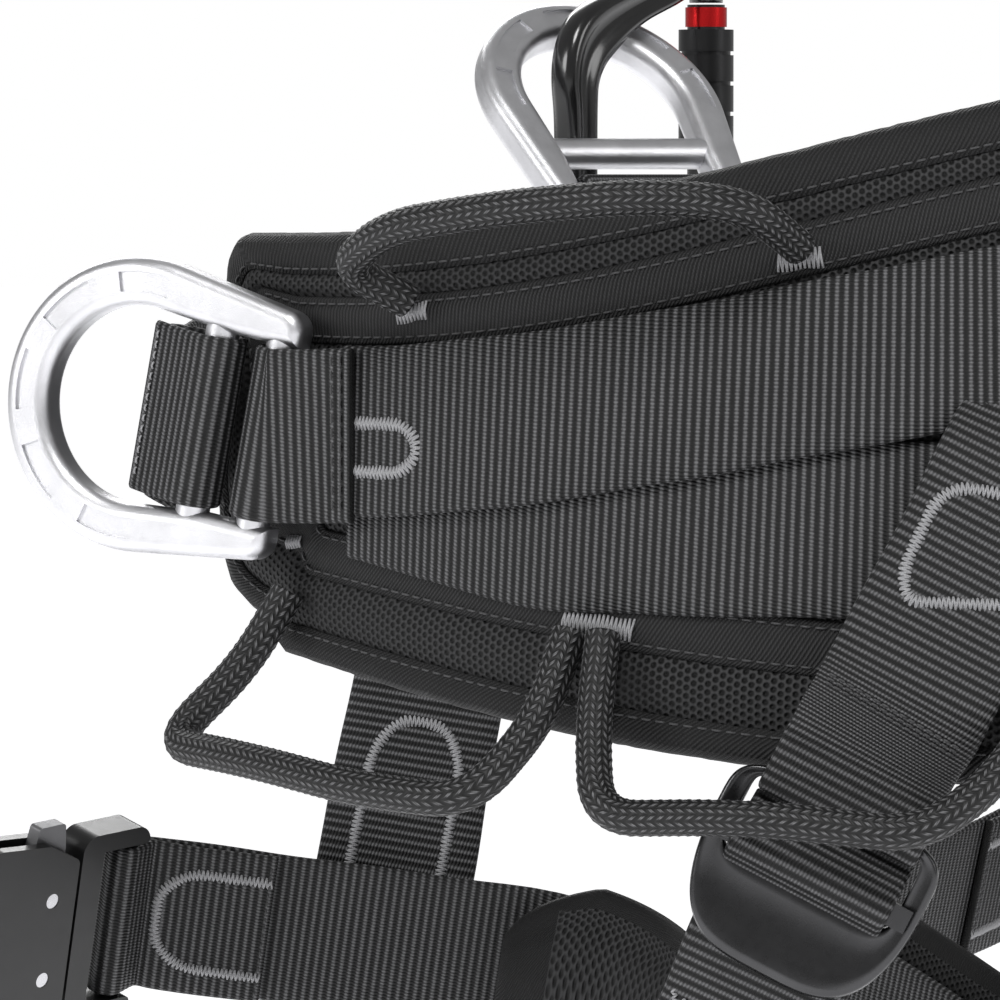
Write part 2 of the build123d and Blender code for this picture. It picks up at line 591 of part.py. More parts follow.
def carabiner(nodes):
    """Screw-sleeve carabiner hanging in the front ring; X from the spine to the gate, Y up."""
    plane = carabiner_plane()
    wide = (Vector(*CARABINER_GATE, 0) - Vector(*CARABINER_SPINE, 0)).length
    foot = -CARABINER_LENGTH + 2 * ROD_RADIUS
    nose = Vector(wide, GATE_TOP, 0)
    heel = Vector(wide, GATE_BOTTOM, 0)
    points = [nose, Vector(wide, 1.0, 0), Vector(wide * 0.72, -5.0, 0), Vector(wide * 0.33, -13.0, 0),
              Vector(0, -27.0, 0), Vector(0, foot + 14.0, 0), Vector(wide * 0.45, foot, 0),
              Vector(wide, foot + 10.0, 0), heel]
    body = Plane(origin=nose, z_dir=(0, 1, 0)) * Circle(ROD_RADIUS)
    frame = sweep(body, path=smooth_path(points))
    pivot = heel + Vector(0, GATE_HINGE, 0)
    frame -= Pos(*pivot) * Pos(0, 1.0, 0) * Box(2 * ROD_RADIUS + 2.0, 13.0, 5.0)
    frame -= Pos(*pivot) * Cylinder(PIN_RADIUS + 0.03, BEYOND)
    nodes["carabiner_body"] = plane * frame
    nodes["carabiner_gate_pin"] = plane * Pos(*pivot) * Cylinder(PIN_RADIUS, 2 * ROD_RADIUS - 0.6)
    low, high = GATE_BOTTOM + EAR_LENGTH, GATE_TOP - GATE_GAP
    rod = Pos(wide, (low + high) / 2, 0) * Rot(90, 0, 0) * Cylinder(GATE_RADIUS, high - low)
    ear_low = pivot.Y - PIN_RADIUS - 1.2
    ear = Pos(wide, (ear_low + low + 1.0) / 2, 0) * Box(6.4, low + 1.0 - ear_low, 4.2)
    gate = rod + ear
    gate -= Pos(*pivot) * Cylinder(PIN_RADIUS + 0.08, BEYOND)
    nodes["carabiner_gate"] = plane * gate
    sleeve_length = SLEEVE_TOP - SLEEVE_BOTTOM
    sleeve_at = Pos(wide, (SLEEVE_TOP + SLEEVE_BOTTOM) / 2, 0)
    sleeve = sleeve_at * Rot(90, 0, 0) * Cylinder(SLEEVE_RADIUS, sleeve_length)
    sleeve -= Pos(wide, 0, 0) * Rot(90, 0, 0) * Cylinder(SLEEVE_BORE, BEYOND)
    for y in SLEEVE_GROOVES:
        groove = Cylinder(SLEEVE_RADIUS + 1.0, GROOVE_WIDTH)
        groove -= Cylinder(SLEEVE_RADIUS - GROOVE_DEPTH, GROOVE_WIDTH)
        sleeve -= Pos(wide, y, 0) * Rot(90, 0, 0) * groove
    nodes["carabiner_sleeve"] = plane * sleeve
    ring_mid = (SLEEVE_TOP + high) / 2
    marker = Cylinder(SLEEVE_BORE - 0.2, high - SLEEVE_TOP - 1.6) - Cylinder(GATE_RADIUS, BEYOND)
    nodes["carabiner_lock_ring"] = plane * Pos(wide, ring_mid, 0) * Rot(90, 0, 0) * marker


def bar_tacks(nodes):
    """Raised thread patches that hold the gear loops and the belt webbing."""
    patches = []
    for s, z, half_s, half_z, off in BELT_TACKS:
        for side in (1, -1):
            ends = (side * (s - half_s), side * (s + half_s))
            patches.append(ribbon(min(ends), max(ends), 3, lambda _, z=z, h=half_z: z - h,
                                  lambda _, z=z, h=half_z: z + h, off, off + TACK_THICK))
    nodes["belt_bar_tacks"] = sum(patches[1:], patches[0])


def mirror_left(nodes):
    """Right-hand twins of every left leg, lifter and adjuster part."""
    for name in [n for n in nodes if n.startswith("left_")]:
        twin = "right_" + name[len("left_"):]
        if twin not in nodes:
            nodes[twin] = nodes[name].mirror(Plane.YZ)


def main():
    nodes = {}
    waist_pad(nodes)
    belt_webbing(nodes)
    bar_tacks(nodes)
    side_rings(nodes)
    gear_loops(nodes)
    left_leg(nodes)
    rear_lifter(nodes)
    front_ring(nodes)
    carabiner(nodes)
    front_belt(nodes)
    mirror_left(nodes)
    os.makedirs(OUT, exist_ok=True)
    for name, shape in nodes.items():
        export_step(shape, os.path.join(OUT, name + ".step"))
        print(name, shape.is_valid, round(shape.volume))


main()
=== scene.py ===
"""Tree climbing saddle: fabric, webbing, braid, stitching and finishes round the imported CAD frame.

Shapes are worked out in millimetres with the same belt mapping as the CAD and turned into metres
as meshes are made.
The wearer faces -Y and the wearer's left is +X. Left-hand pieces are built once and mirrored in X = 0.
"""
import json
import math

import bmesh
import bpy
import numpy as np
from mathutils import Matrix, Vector, noise


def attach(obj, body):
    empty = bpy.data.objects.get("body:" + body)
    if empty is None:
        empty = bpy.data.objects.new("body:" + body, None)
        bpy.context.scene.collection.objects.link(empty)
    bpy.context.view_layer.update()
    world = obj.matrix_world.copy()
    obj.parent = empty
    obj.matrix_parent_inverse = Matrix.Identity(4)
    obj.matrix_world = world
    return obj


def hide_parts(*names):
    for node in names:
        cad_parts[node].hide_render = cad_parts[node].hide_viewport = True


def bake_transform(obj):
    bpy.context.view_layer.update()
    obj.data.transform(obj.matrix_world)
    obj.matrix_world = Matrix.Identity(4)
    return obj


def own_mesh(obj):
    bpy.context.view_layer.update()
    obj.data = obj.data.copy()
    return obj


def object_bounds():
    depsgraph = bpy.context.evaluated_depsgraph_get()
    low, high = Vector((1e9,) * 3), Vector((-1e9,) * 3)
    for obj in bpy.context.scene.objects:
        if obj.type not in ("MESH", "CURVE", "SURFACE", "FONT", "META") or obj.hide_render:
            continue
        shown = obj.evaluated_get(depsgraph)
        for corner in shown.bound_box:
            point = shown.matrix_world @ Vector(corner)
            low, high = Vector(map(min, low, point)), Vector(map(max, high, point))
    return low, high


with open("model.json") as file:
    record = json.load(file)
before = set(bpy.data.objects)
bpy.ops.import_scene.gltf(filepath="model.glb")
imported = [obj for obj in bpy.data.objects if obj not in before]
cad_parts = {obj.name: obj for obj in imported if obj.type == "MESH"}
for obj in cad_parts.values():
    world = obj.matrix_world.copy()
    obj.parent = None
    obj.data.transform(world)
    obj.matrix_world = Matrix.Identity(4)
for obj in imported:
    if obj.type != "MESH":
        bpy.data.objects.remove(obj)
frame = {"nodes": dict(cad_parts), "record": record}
cad_low, cad_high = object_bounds()

MM = 0.001

# Belt mapping, as in the CAD
BACK_Y = 156.0
WAIST_ARCS = ((160.0, 60.0), (232.0, 5.0), (70.0, -60.0), (320.0, -90.0))
PAD_LEAN = 0.30
LEAN_LENGTH = 330.0
PAD_TOP_FRONT = 55.0
PAD_TOP_RISE = 43.0
PAD_TOP_REACH = 300.0
PAD_TOP_POWER = 1.15
PAD_BOTTOM_BACK = -82.0
PAD_BOTTOM_RISE = 36.0
PAD_BOTTOM_REACH = 400.0
PAD_BOTTOM_POWER = 1.6
UPPER_AT_RING = 4.0
UPPER_RISE = 34.0
UPPER_REACH = 275.0
LOWER_AT_RING = -6.0
LOWER_DROP = 12.0
LOWER_TURN_FROM = 190.0
LOWER_TURN_LENGTH = 90.0

# Webbing
STRAP_HALF = 22.5
STRAP_THICK = 2.2
RIB_PITCH = 2.42
RIB_HEIGHT = 0.34
RIB_SHAPE = ((0.0, -0.6), (0.2, 0.55), (0.5, 1.0), (0.8, 0.55))
EDGE_WAVE = 0.18
EDGE_WAVE_LENGTH = 7.3
BELT_END = 266.0

# Rings
SIDE_BAR = Vector((203.5, -25.0, 3.0))
RING_AZIMUTH = math.radians(-56.0)
RING_TILT = math.radians(11.0)
BAR_SPACING = 18.0
BAR_RADIUS = 4.5
FRONT_BAR = Vector((0.0, -184.0, 76.0))
FRONT_LEAN = math.radians(45.0)

GEAR_LOOPS = {
    "upper_gear_loop": ((244, 38, 5.6), (251, 47, 22), (232, 57, 32), (202, 62, 34), (168, 65, 34),
                        (146, 63, 27), (137, 52, 5.6)),
    "front_gear_loop": ((285, -38, 5.6), (290, -57, 16), (299, -77, 34), (266, -79, 35), (232, -84, 36),
                        (203, -86, 33), (194, -66, 16), (192, -45, 5.6)),
    "rear_gear_loop": ((183, -45, 5.6), (181, -68, 14), (175, -89, 24), (140, -87, 27), (104, -91, 24),
                       (88, -78, 15), (74, -56, 5.6)),
}
BRAID_RADIUS = 4.5
BRAID_COLUMNS = 16
BRAID_PITCH = 2.6
BRAID_LEAN = 0.9

# Carabiner shoulder: how far the beam is pushed out and deepened at its upper bend
HORN_OUT = 1.6
HORN_DEEP = 0.55

SIDES = (("left", False), ("right", True))
MIRROR = np.array((-1.0, 1.0, 1.0))


# ---------------------------------------------------------------- belt mapping

def plan_point(s, off=0.0):
    """Point on the waist curve and its outward normal angle in degrees."""
    side = 1.0 if s >= 0 else -1.0
    run = abs(s)
    x, y, normal = 0.0, BACK_Y, 90.0
    for radius, end in WAIST_ARCS:
        cx = x - radius * math.cos(math.radians(normal))
        cy = y - radius * math.sin(math.radians(normal))
        length = radius * math.radians(normal - end)
        at = math.radians(normal) - min(run, length) / radius
        if run <= length or end == WAIST_ARCS[-1][1]:
            px = cx + (radius + off) * math.cos(at)
            py = cy + (radius + off) * math.sin(at)
            return side * px, py, math.degrees(at)
        run -= length
        x = cx + radius * math.cos(math.radians(end))
        y = cy + radius * math.sin(math.radians(end))
        normal = end


def bell(s, length):
    """1 at centre back, falling smoothly to 0 at the given distance along the belt."""
    return 0.5 + 0.5 * math.cos(math.pi * min(abs(s) / length, 1.0))


def on_pad(s, z, off=0.0):
    """Point at height z on the pad's outer face, moved outward by off."""
    x, y, _ = plan_point(s, off - PAD_LEAN * bell(s, LEAN_LENGTH) * z)
    return Vector((x, y, z))


def pad_top(s):
    return PAD_TOP_FRONT + PAD_TOP_RISE * bell(s, PAD_TOP_REACH) ** PAD_TOP_POWER


def pad_bottom(s):
    return PAD_BOTTOM_BACK + PAD_BOTTOM_RISE * (1.0 - bell(s, PAD_BOTTOM_REACH)) ** PAD_BOTTOM_POWER


def upper_centre(s):
    return UPPER_AT_RING + UPPER_RISE * bell(s, UPPER_REACH)


def lower_centre(s):
    return LOWER_AT_RING - LOWER_DROP * bell(max(abs(s) - LOWER_TURN_FROM, 0.0), LOWER_TURN_LENGTH)


# ---------------------------------------------------------------- meshes

def new_object(name, verts, faces, uvs=None):
    """Object from vertices in millimetres, faces and one UV pair for each face corner."""
    mesh = bpy.data.meshes.new(name)
    mesh.from_pydata([tuple(c * MM for c in v) for v in verts], [], faces)
    if uvs is not None:
        layer = mesh.uv_layers.new(name="wrap")
        layer.data.foreach_set("uv", np.asarray(uvs, np.float32).ravel())
    mesh.shade_smooth()
    mesh.update()
    obj = bpy.data.objects.new(name, mesh)
    bpy.context.scene.collection.objects.link(obj)
    return obj


def grid_object(name, points, u_of, v_of, close_rows=False, mirror=False):
    """Closed skin over rows of points. Columns always close on themselves; open rows get flat caps."""
    points = np.asarray(points, float)
    rows, cols = points.shape[:2]
    if mirror:
        points = points * MIRROR
    verts = points.reshape(-1, 3)
    faces, uvs = [], []
    for i in range(rows if close_rows else rows - 1):
        below = (i + 1) % rows
        for j in range(cols):
            right = (j + 1) % cols
            corners = [(i, j, i, j), (i, right, i, j + 1)]
            corners += [(below, right, i + 1, j + 1), (below, j, i + 1, j)]
            if mirror:
                corners.reverse()
            faces.append([a * cols + b for a, b, _, _ in corners])
            uvs += [(u_of[c], v_of[d]) for _, _, c, d in corners]
    if not close_rows:
        for row, flip in ((0, mirror), (rows - 1, not mirror)):
            ring = list(range(cols))
            if not flip:
                ring.reverse()
            faces.append([row * cols + j for j in ring])
            uvs += [(u_of[row], v_of[j]) for j in ring]
    return new_object(name, verts.tolist(), faces, uvs)


def resample(points, step):
    """Evenly spaced points along a polyline, at most step apart."""
    points = np.asarray(points, float)
    runs = np.linalg.norm(np.diff(points, axis=0), axis=1)
    at = np.concatenate(([0.0], np.cumsum(runs)))
    count = max(2, int(math.ceil(at[-1] / step)) + 1)
    want = np.linspace(0.0, at[-1], count)
    return np.stack([np.interp(want, at, points[:, k]) for k in range(points.shape[1])], axis=1), want


def rounded(points, reach=0.45, most=40.0, steps=10):
    """Polyline with each corner turned into a smooth bend as large as its runs allow."""
    points = [np.asarray(p, float) for p in points]
    out = [points[0]]
    for before, here, after in zip(points, points[1:], points[2:]):
        run_in = np.linalg.norm(here[:3] - before[:3])
        run_out = np.linalg.norm(after[:3] - here[:3])
        cut = min(reach * min(run_in, run_out), most)
        start = here + (before - here) * cut / run_in
        end = here + (after - here) * cut / run_out
        for k in range(steps + 1):
            t = k / steps
            out.append((1 - t) ** 2 * start + 2 * t * (1 - t) * here + t ** 2 * end)
    out.append(points[-1])
    return np.array(out)


def frames_along(points, across):
    """Unit tangents, across directions and normals along a path, from the wanted across directions."""
    tangent = np.gradient(points, axis=0)
    tangent /= np.linalg.norm(tangent, axis=1)[:, None]
    across = across - tangent * np.sum(across * tangent, axis=1)[:, None]
    across /= np.linalg.norm(across, axis=1)[:, None]
    return tangent, across, np.cross(tangent, across)


class Strap:
    """Route of a flat strap: a place for each distance along, distance across and height off its middle."""

    def __init__(self, stops, reach=0.45, most=40.0, half=STRAP_HALF):
        route = rounded([list(p) + list(a) for p, a in stops], reach, most)
        self.half = half
        self.points, self.at = resample(route, 1.0)
        self.length = self.at[-1]
        self.pos = self.points[:, :3]
        _, self.across, self.normal = frames_along(self.pos, self.points[:, 3:])

    def place(self, u, v, w):
        """Points for matching arrays of distance along, distance across and height."""
        u = np.clip(u, 0.0, self.length)
        found = []
        for table in (self.pos, self.across, self.normal):
            found.append(np.stack([np.interp(u, self.at, table[:, k]) for k in range(3)], axis=-1))
        return found[0] + found[1] * np.asarray(v)[..., None] + found[2] * np.asarray(w)[..., None]


class PadStrap:
    """Strap that lies on the belt: u is measured along the belt from its start."""

    def __init__(self, start, end, centre, off, half=STRAP_HALF):
        self.start, self.end, self.centre, self.off, self.half = start, end, centre, off, half
        self.length = abs(end - start)

    def place(self, u, v, w):
        u, v, w = np.broadcast_arrays(u, v, w)
        way = 1.0 if self.end > self.start else -1.0
        flat = [on_pad(self.start + way * a, self.centre(self.start + way * a) - way * b, self.off + c)
                for a, b, c in zip(u.ravel(), v.ravel(), w.ravel())]
        return np.array([list(p) for p in flat]).reshape(u.shape + (3,))


def section(half, thick, across=9):
    """Flat oval cross-section as (v, w, rib share) triples, anticlockwise from the top face's left edge."""
    edge = thick / 2
    inner = half - edge
    top = [(-inner + 2 * inner * k / (across - 1), edge, 1.0) for k in range(across)]
    round_off = half - 0.25 * edge
    right = [(round_off, 0.55 * edge, 0.5), (half, 0.0, 0.3), (round_off, -0.55 * edge, 0.5)]
    bottom = [(-v, -w, r) for v, w, r in top]
    left = [(-v, -w, r) for v, w, r in right]
    return top + right + bottom + left


def webbing(name, strap, body=None, mirror=False):
    """Ribbed webbing along a strap's route."""
    ribs = max(2, int(round(strap.length / RIB_PITCH)))
    pitch = strap.length / ribs
    u = np.array([(k + f) * pitch for k in range(ribs) for f, _ in RIB_SHAPE] + [strap.length])
    lift = np.array([h for _ in range(ribs) for _, h in RIB_SHAPE] + [RIB_SHAPE[0][1]]) * RIB_HEIGHT / 2
    profile = np.array(section(strap.half, STRAP_THICK))
    edge = np.abs(profile[:, 0]) > strap.half - 2.0
    wave = EDGE_WAVE * np.sin(u / EDGE_WAVE_LENGTH)[:, None] * edge[None, :]
    v = profile[None, :, 0] + wave
    w = profile[None, :, 1] + lift[:, None] * profile[None, :, 2] * np.sign(profile[None, :, 1])
    points = strap.place(np.broadcast_to(u[:, None], w.shape), np.broadcast_to(v, w.shape), w)
    steps = np.linalg.norm(np.diff(profile[:, :2], axis=0, append=profile[:1, :2]), axis=1)
    v_of = np.concatenate(([0.0], np.cumsum(steps)))
    u_of = [k + f for k in range(ribs) for f, _ in RIB_SHAPE] + [float(ribs)]
    obj = grid_object(name, points, [a * RIB_PITCH for a in u_of], v_of, mirror=mirror)
    finish_piece(obj, "webbing", body)
    return obj


def finish_piece(obj, slot, body=None, material=None):
    """Gives a piece its material and slot, and lets it ride on a body."""
    obj.data.materials.append(MATERIALS[material or slot])
    if body:
        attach(obj, body)
    return obj


def tube_rows(points, radii, sides):
    """Rows of points round a path, turning as little as possible; radii is one value, or rows by sides."""
    points = np.asarray(points, float)
    tangent = np.gradient(points, axis=0)
    tangent /= np.linalg.norm(tangent, axis=1)[:, None]
    up = np.array((0.3, 0.2, 1.0))
    rows = []
    radii = np.broadcast_to(radii, (len(points), sides)) if np.ndim(radii) < 2 else radii
    turns = 2 * math.pi * np.arange(sides) / sides
    for point, way, r in zip(points, tangent, radii):
        up = up - way * np.dot(up, way)
        up /= np.linalg.norm(up)
        side = np.cross(way, up)
        rows.append(point + r[:, None] * (np.cos(turns)[:, None] * up + np.sin(turns)[:, None] * side))
    return np.array(rows)


def threads(name, bars, radius, body, mirror, material):
    """Many short bent threads in one piece; each bar is a list of three or more points."""
    verts, faces = [], []
    sides = 5
    for bar in bars:
        rows = tube_rows(bar, radius, sides)
        if mirror:
            rows = rows * MIRROR
        base = len(verts)
        verts += rows.reshape(-1, 3).tolist()
        count = len(bar)
        for i in range(count - 1):
            for j in range(sides):
                quad = [base + i * sides + j, base + i * sides + (j + 1) % sides,
                        base + (i + 1) * sides + (j + 1) % sides, base + (i + 1) * sides + j]
                faces.append(quad[::-1] if mirror else quad)
        first = [base + j for j in range(sides)][::-1]
        last = [base + (count - 1) * sides + j for j in range(sides)]
        faces += [first[::-1], last[::-1]] if mirror else [first, last]
    finish_piece(new_object(name, verts, faces), "grey_thread", body, material)


SATIN_SLIP = 0.32
SATIN_RAGGED = 0.09
SATIN_LIFTS = (-0.3, 0.35, -0.3)
STITCH_SHARES = (0.0, 0.15, 0.5, 0.85, 1.0)
STITCH_LIFTS = (-0.4, 0.15, 0.3, 0.15, -0.4)
STITCH_RADIUS = 0.3


def satin(name, surface, route, width, body, mirror, pitch=0.6, radius=0.34):
    """Dense zigzag stitch along a route of (a, b) points on a surface of place(a, b, height)."""
    line, _ = resample(rounded(route, 0.48, 9.0, 6), pitch)
    ways = np.gradient(line, axis=0)
    ways /= np.linalg.norm(ways, axis=1)[:, None]
    bars = []
    for k, (point, way) in enumerate(zip(line, ways)):
        cross = np.array((-way[1], way[0])) * width / 2
        slip = way * SATIN_SLIP * (1 if k % 2 else -1)
        ragged = 1.0 + SATIN_RAGGED * math.sin(12.9898 * k)
        flat = [point - cross * ragged - slip, point, point + cross * ragged + slip]
        bars.append([surface(a, b, h) for (a, b), h in zip(flat, SATIN_LIFTS)])
    threads(name, bars, radius, body, mirror, "grey_thread")


def running_stitch(name, surface, routes, body, mirror=False, length=2.6, gap=1.1, material="dark_thread"):
    """Straight stitches along one or more routes on a surface."""
    bars = []
    for route in routes:
        line, at = resample(route, 0.5)
        count = int(at[-1] / (length + gap))
        for k in range(count):
            spots = [k * (length + gap) + length * f for f in STITCH_SHARES]
            flat = [(np.interp(x, at, line[:, 0]), np.interp(x, at, line[:, 1])) for x in spots]
            bars.append([surface(a, b, h) for (a, b), h in zip(flat, STITCH_LIFTS)])
    threads(name, bars, STITCH_RADIUS, body, mirror, material)


def strap_top(strap, station, outward):
    """Surface of a strap's face that looks outward at one of its stations, for stitching."""
    side = 1.0 if np.dot(strap.normal[station], outward) > 0 else -1.0

    def surface(u, v, h):
        return strap.place(np.array(u), np.array(v), np.array(side * (STRAP_THICK / 2 + 0.1 + h)))
    return surface


def pad_surface(off):
    """Surface at a height off the pad's outer face, for stitching."""
    return lambda s, z, h: list(on_pad(s, z, off + h))


def bent(value, power):
    """A value from -1 to 1 raised to a power with its sign kept, which squares off a circle."""
    return math.copysign(abs(value) ** power, value)


def on_side(vector, mirror):
    """Plain tuple of a left-hand vector, or of its mirror twin."""
    return tuple(vector * MIRROR if mirror else vector)


# ---------------------------------------------------------------- materials

# Blue share of a grey shade
COOL = 1.03


class Look:
    """One node material, with short helpers for its procedural pattern."""

    def __init__(self, name, roughness=0.5, metallic=0.0, sheen=0.0, coat=0.0, specular=0.5):
        self.material = bpy.data.materials.new(name)
        self.material.use_nodes = True
        self.tree = self.material.node_tree
        self.bsdf = self.tree.nodes["Principled BSDF"]
        self.set("Roughness", roughness)
        self.set("Metallic", metallic)
        self.set("Sheen Weight", sheen)
        self.set("Sheen Roughness", 0.45)
        self.set("Coat Weight", coat)
        self.set("Coat Roughness", 0.12)
        self.set("Specular IOR Level", specular)
        self.height = None

    def set(self, socket, value):
        self.bsdf.inputs[socket].default_value = value

    def join(self, value, socket):
        if isinstance(value, (int, float)):
            socket.default_value = value
        else:
            self.tree.links.new(value, socket)

    def math(self, operation, a, b=0.0):
        node = self.tree.nodes.new("ShaderNodeMath")
        node.operation = operation
        self.join(a, node.inputs[0])
        self.join(b, node.inputs[1])
        return node.outputs[0]

    def times(self, a, b):
        return self.math("MULTIPLY", a, b)

    def plus(self, a, b):
        return self.math("ADD", a, b)

    def wrap(self):
        """The strap's own coordinates in millimetres: along and across."""
        uv = self.tree.nodes.new("ShaderNodeUVMap")
        uv.uv_map = "wrap"
        split = self.tree.nodes.new("ShaderNodeSeparateXYZ")
        self.tree.links.new(uv.outputs[0], split.inputs[0])
        return split.outputs[0], split.outputs[1]

    def place(self):
        """Coordinates in the object's own frame, in millimetres."""
        coordinates = self.tree.nodes.new("ShaderNodeTexCoord")
        scale = self.tree.nodes.new("ShaderNodeVectorMath")
        scale.operation = "SCALE"
        scale.inputs["Scale"].default_value = 1.0 / MM
        self.tree.links.new(coordinates.outputs["Object"], scale.inputs[0])
        return scale.outputs[0]

    def noise(self, scale, detail=3.0, roughness=0.5):
        node = self.tree.nodes.new("ShaderNodeTexNoise")
        node.inputs["Scale"].default_value = scale
        node.inputs["Detail"].default_value = detail
        node.inputs["Roughness"].default_value = roughness
        self.tree.links.new(self.place(), node.inputs["Vector"])
        return node.outputs["Fac"]

    def half_wave(self, angle):
        """Sine of an angle, from 0 to 1."""
        return self.plus(self.times(self.math("SINE", angle), 0.5), 0.5)

    def ramp(self, value, stops):
        node = self.tree.nodes.new("ShaderNodeValToRGB")
        ramp = node.color_ramp
        while len(ramp.elements) < len(stops):
            ramp.elements.new(0.5)
        for element, (at, shade) in zip(ramp.elements, stops):
            element.position = at
            tint = shade if isinstance(shade, tuple) else (shade, shade, shade * COOL)
            element.color = (*tint, 1.0)
        self.join(value, node.inputs[0])
        return node.outputs[0]

    def colour(self, socket):
        self.tree.links.new(socket, self.bsdf.inputs["Base Color"])

    def rough(self, value, low, high):
        node = self.tree.nodes.new("ShaderNodeMapRange")
        node.inputs["To Min"].default_value = low
        node.inputs["To Max"].default_value = high
        self.join(value, node.inputs["Value"])
        self.tree.links.new(node.outputs[0], self.bsdf.inputs["Roughness"])

    def bump(self, value, distance, strength=1.0):
        """Adds a layer of relief, its depth in millimetres."""
        node = self.tree.nodes.new("ShaderNodeBump")
        node.inputs["Strength"].default_value = strength
        node.inputs["Distance"].default_value = distance * MM
        self.join(value, node.inputs["Height"])
        if self.height is not None:
            self.tree.links.new(self.height, node.inputs["Normal"])
        self.height = node.outputs[0]
        self.tree.links.new(self.height, self.bsdf.inputs["Normal"])


WEFT_PITCH = 0.95
MESH_CELL = 2.1


def webbing_look():
    look = Look("ribbed_webbing", roughness=0.58, sheen=0.02, specular=0.3)
    along, across = look.wrap()
    # Painted highlight on each rib's top and painted shade in the grooves between ribs: the colour climbs
    # from near black in a groove to light grey on a top
    rib = look.math("COSINE", look.times(along, 2 * math.pi / RIB_PITCH))
    top = look.math("SUBTRACT", 0.5, look.times(rib, 0.5))
    slant = look.times(along, math.pi / RIB_PITCH)
    weft = look.half_wave(look.plus(look.times(across, 2 * math.pi / WEFT_PITCH), slant))
    fibre = look.noise(1.6, 4.0)
    mixed = look.times(top, look.plus(0.62, look.times(weft, 0.38)))
    shade = look.times(mixed, look.plus(0.6, look.times(fibre, 0.8)))
    # Ramp from the painted shade of the grooves up to the painted highlight of the rib tops, with the weave
    # and fibre tone mixed in
    look.colour(look.ramp(shade, ((0.08, 0.0015), (0.4, 0.012), (0.95, 0.125))))
    look.bump(weft, 0.22)
    look.bump(fibre, 0.15, 0.5)
    return look.material


def spacer_mesh_look():
    """Air mesh: a honeycomb of holes between rounded threads, with painted shade in the holes and down the
    threads' sides.
    """
    look = Look("spacer_mesh", roughness=0.65, sheen=0.02, specular=0.25)
    along, across = look.wrap()
    waves = []
    for turn in (0.0, 60.0, 120.0):
        a = math.radians(turn)
        mixed = look.plus(look.times(along, math.cos(a)), look.times(across, math.sin(a)))
        waves.append(look.math("COSINE", look.times(mixed, 4 * math.pi / (MESH_CELL * math.sqrt(3.0)))))
    total = look.plus(look.plus(waves[0], waves[1]), waves[2])
    level = look.math("DIVIDE", look.plus(total, 1.5), 4.5)
    net = look.math("SUBTRACT", 1.0, level)
    # Painted shade: the colour falls to near black in the holes and climbs to dark grey on the threads'
    # crowns
    look.colour(look.ramp(net, ((0.35, 0.0008), (0.62, 0.006), (1.0, 0.030))))
    look.bump(look.math("MINIMUM", net, 0.8), 0.9)
    return look.material


def fabric_look(name, light, twill):
    """Fine diagonal weave; twill is its pitch in millimetres."""
    look = Look(name, roughness=0.62, sheen=0.02, specular=0.25)
    along, across = look.wrap()
    slope = look.plus(along, look.times(across, 0.8))
    line = look.half_wave(look.times(slope, 2 * math.pi / twill))
    steep = look.math("SUBTRACT", across, along)
    cross = look.half_wave(look.times(steep, 2 * math.pi / (0.7 * twill)))
    fibre = look.noise(1.1, 4.0)
    weave = look.times(line, look.plus(0.5, look.times(cross, 0.5)))
    shade = look.times(weave, look.plus(0.5, fibre))
    look.colour(look.ramp(shade, ((0.0, 0.0015), (0.8, light))))
    look.bump(weave, 0.28)
    look.bump(look.noise(0.12, 2.0), 1.2, 0.35)
    return look.material


def braid_look():
    """Herringbone braid of black and grey threads round a cord, with painted shade at the edges of each
    strand and a painted highlight on its crown; across runs from 0 to 1 round it.
    """
    look = Look("braided_cover", roughness=0.5, sheen=0.02, specular=0.35)
    along, across = look.wrap()
    column = look.times(across, float(BRAID_COLUMNS))
    inside = look.math("FRACT", column)
    parity = look.math("MODULO", look.math("FLOOR", column), 2.0)
    slope = look.math("SUBTRACT", look.times(parity, 2.0), 1.0)
    lean = look.times(look.math("SUBTRACT", inside, 0.5), look.times(slope, BRAID_LEAN))
    shifted = look.plus(look.math("DIVIDE", along, BRAID_PITCH), lean)
    strand = look.half_wave(look.times(shifted, 2 * math.pi))
    fine = look.half_wave(look.times(shifted, 6 * math.pi))
    # Painted shade: each strand is darkened towards its edges and left lightest along its middle
    lane = look.math("SINE", look.times(inside, math.pi))
    lit = look.times(look.times(strand, lane), look.plus(0.6, look.times(fine, 0.4)))
    shade = look.times(lit, look.plus(0.65, look.times(look.noise(0.9, 2.0), 0.7)))
    # Ramp from the painted shade between strands to the grey threads and the painted highlights on the strand
    # crowns
    look.colour(look.ramp(shade, ((0.12, 0.002), (0.45, 0.014), (0.85, 0.16))))
    look.bump(lit, 0.35)
    return look.material


def thread_look(name, shade):
    look = Look(name, roughness=0.5, sheen=0.05, specular=0.4)
    fibre = look.noise(2.5, 3.0)
    look.colour(look.ramp(fibre, ((0.2, shade * 0.6), (0.8, shade * 1.2))))
    look.bump(look.noise(6.0, 2.0), 0.12)
    return look.material


def metal_look(name, shade, roughness, grain=0.1, metallic=1.0, coat=0.0, tint=None):
    """Blasted or coated metal with a fine grain and slight wear in its gloss."""
    look = Look(name, roughness=roughness, metallic=metallic, coat=coat)
    patch = look.noise(0.06, 4.0, 0.6)
    low = tuple(c * 0.82 for c in tint) if tint else shade * 0.82
    high = tint if tint else shade
    look.colour(look.ramp(patch, ((0.3, low), (0.7, high))))
    look.rough(look.noise(0.25, 5.0, 0.65), roughness * 0.75, roughness * 1.3)
    look.bump(look.noise(3.4, 2.0), grain, 0.6)
    return look.material


RED = (0.62, 0.012, 0.014)


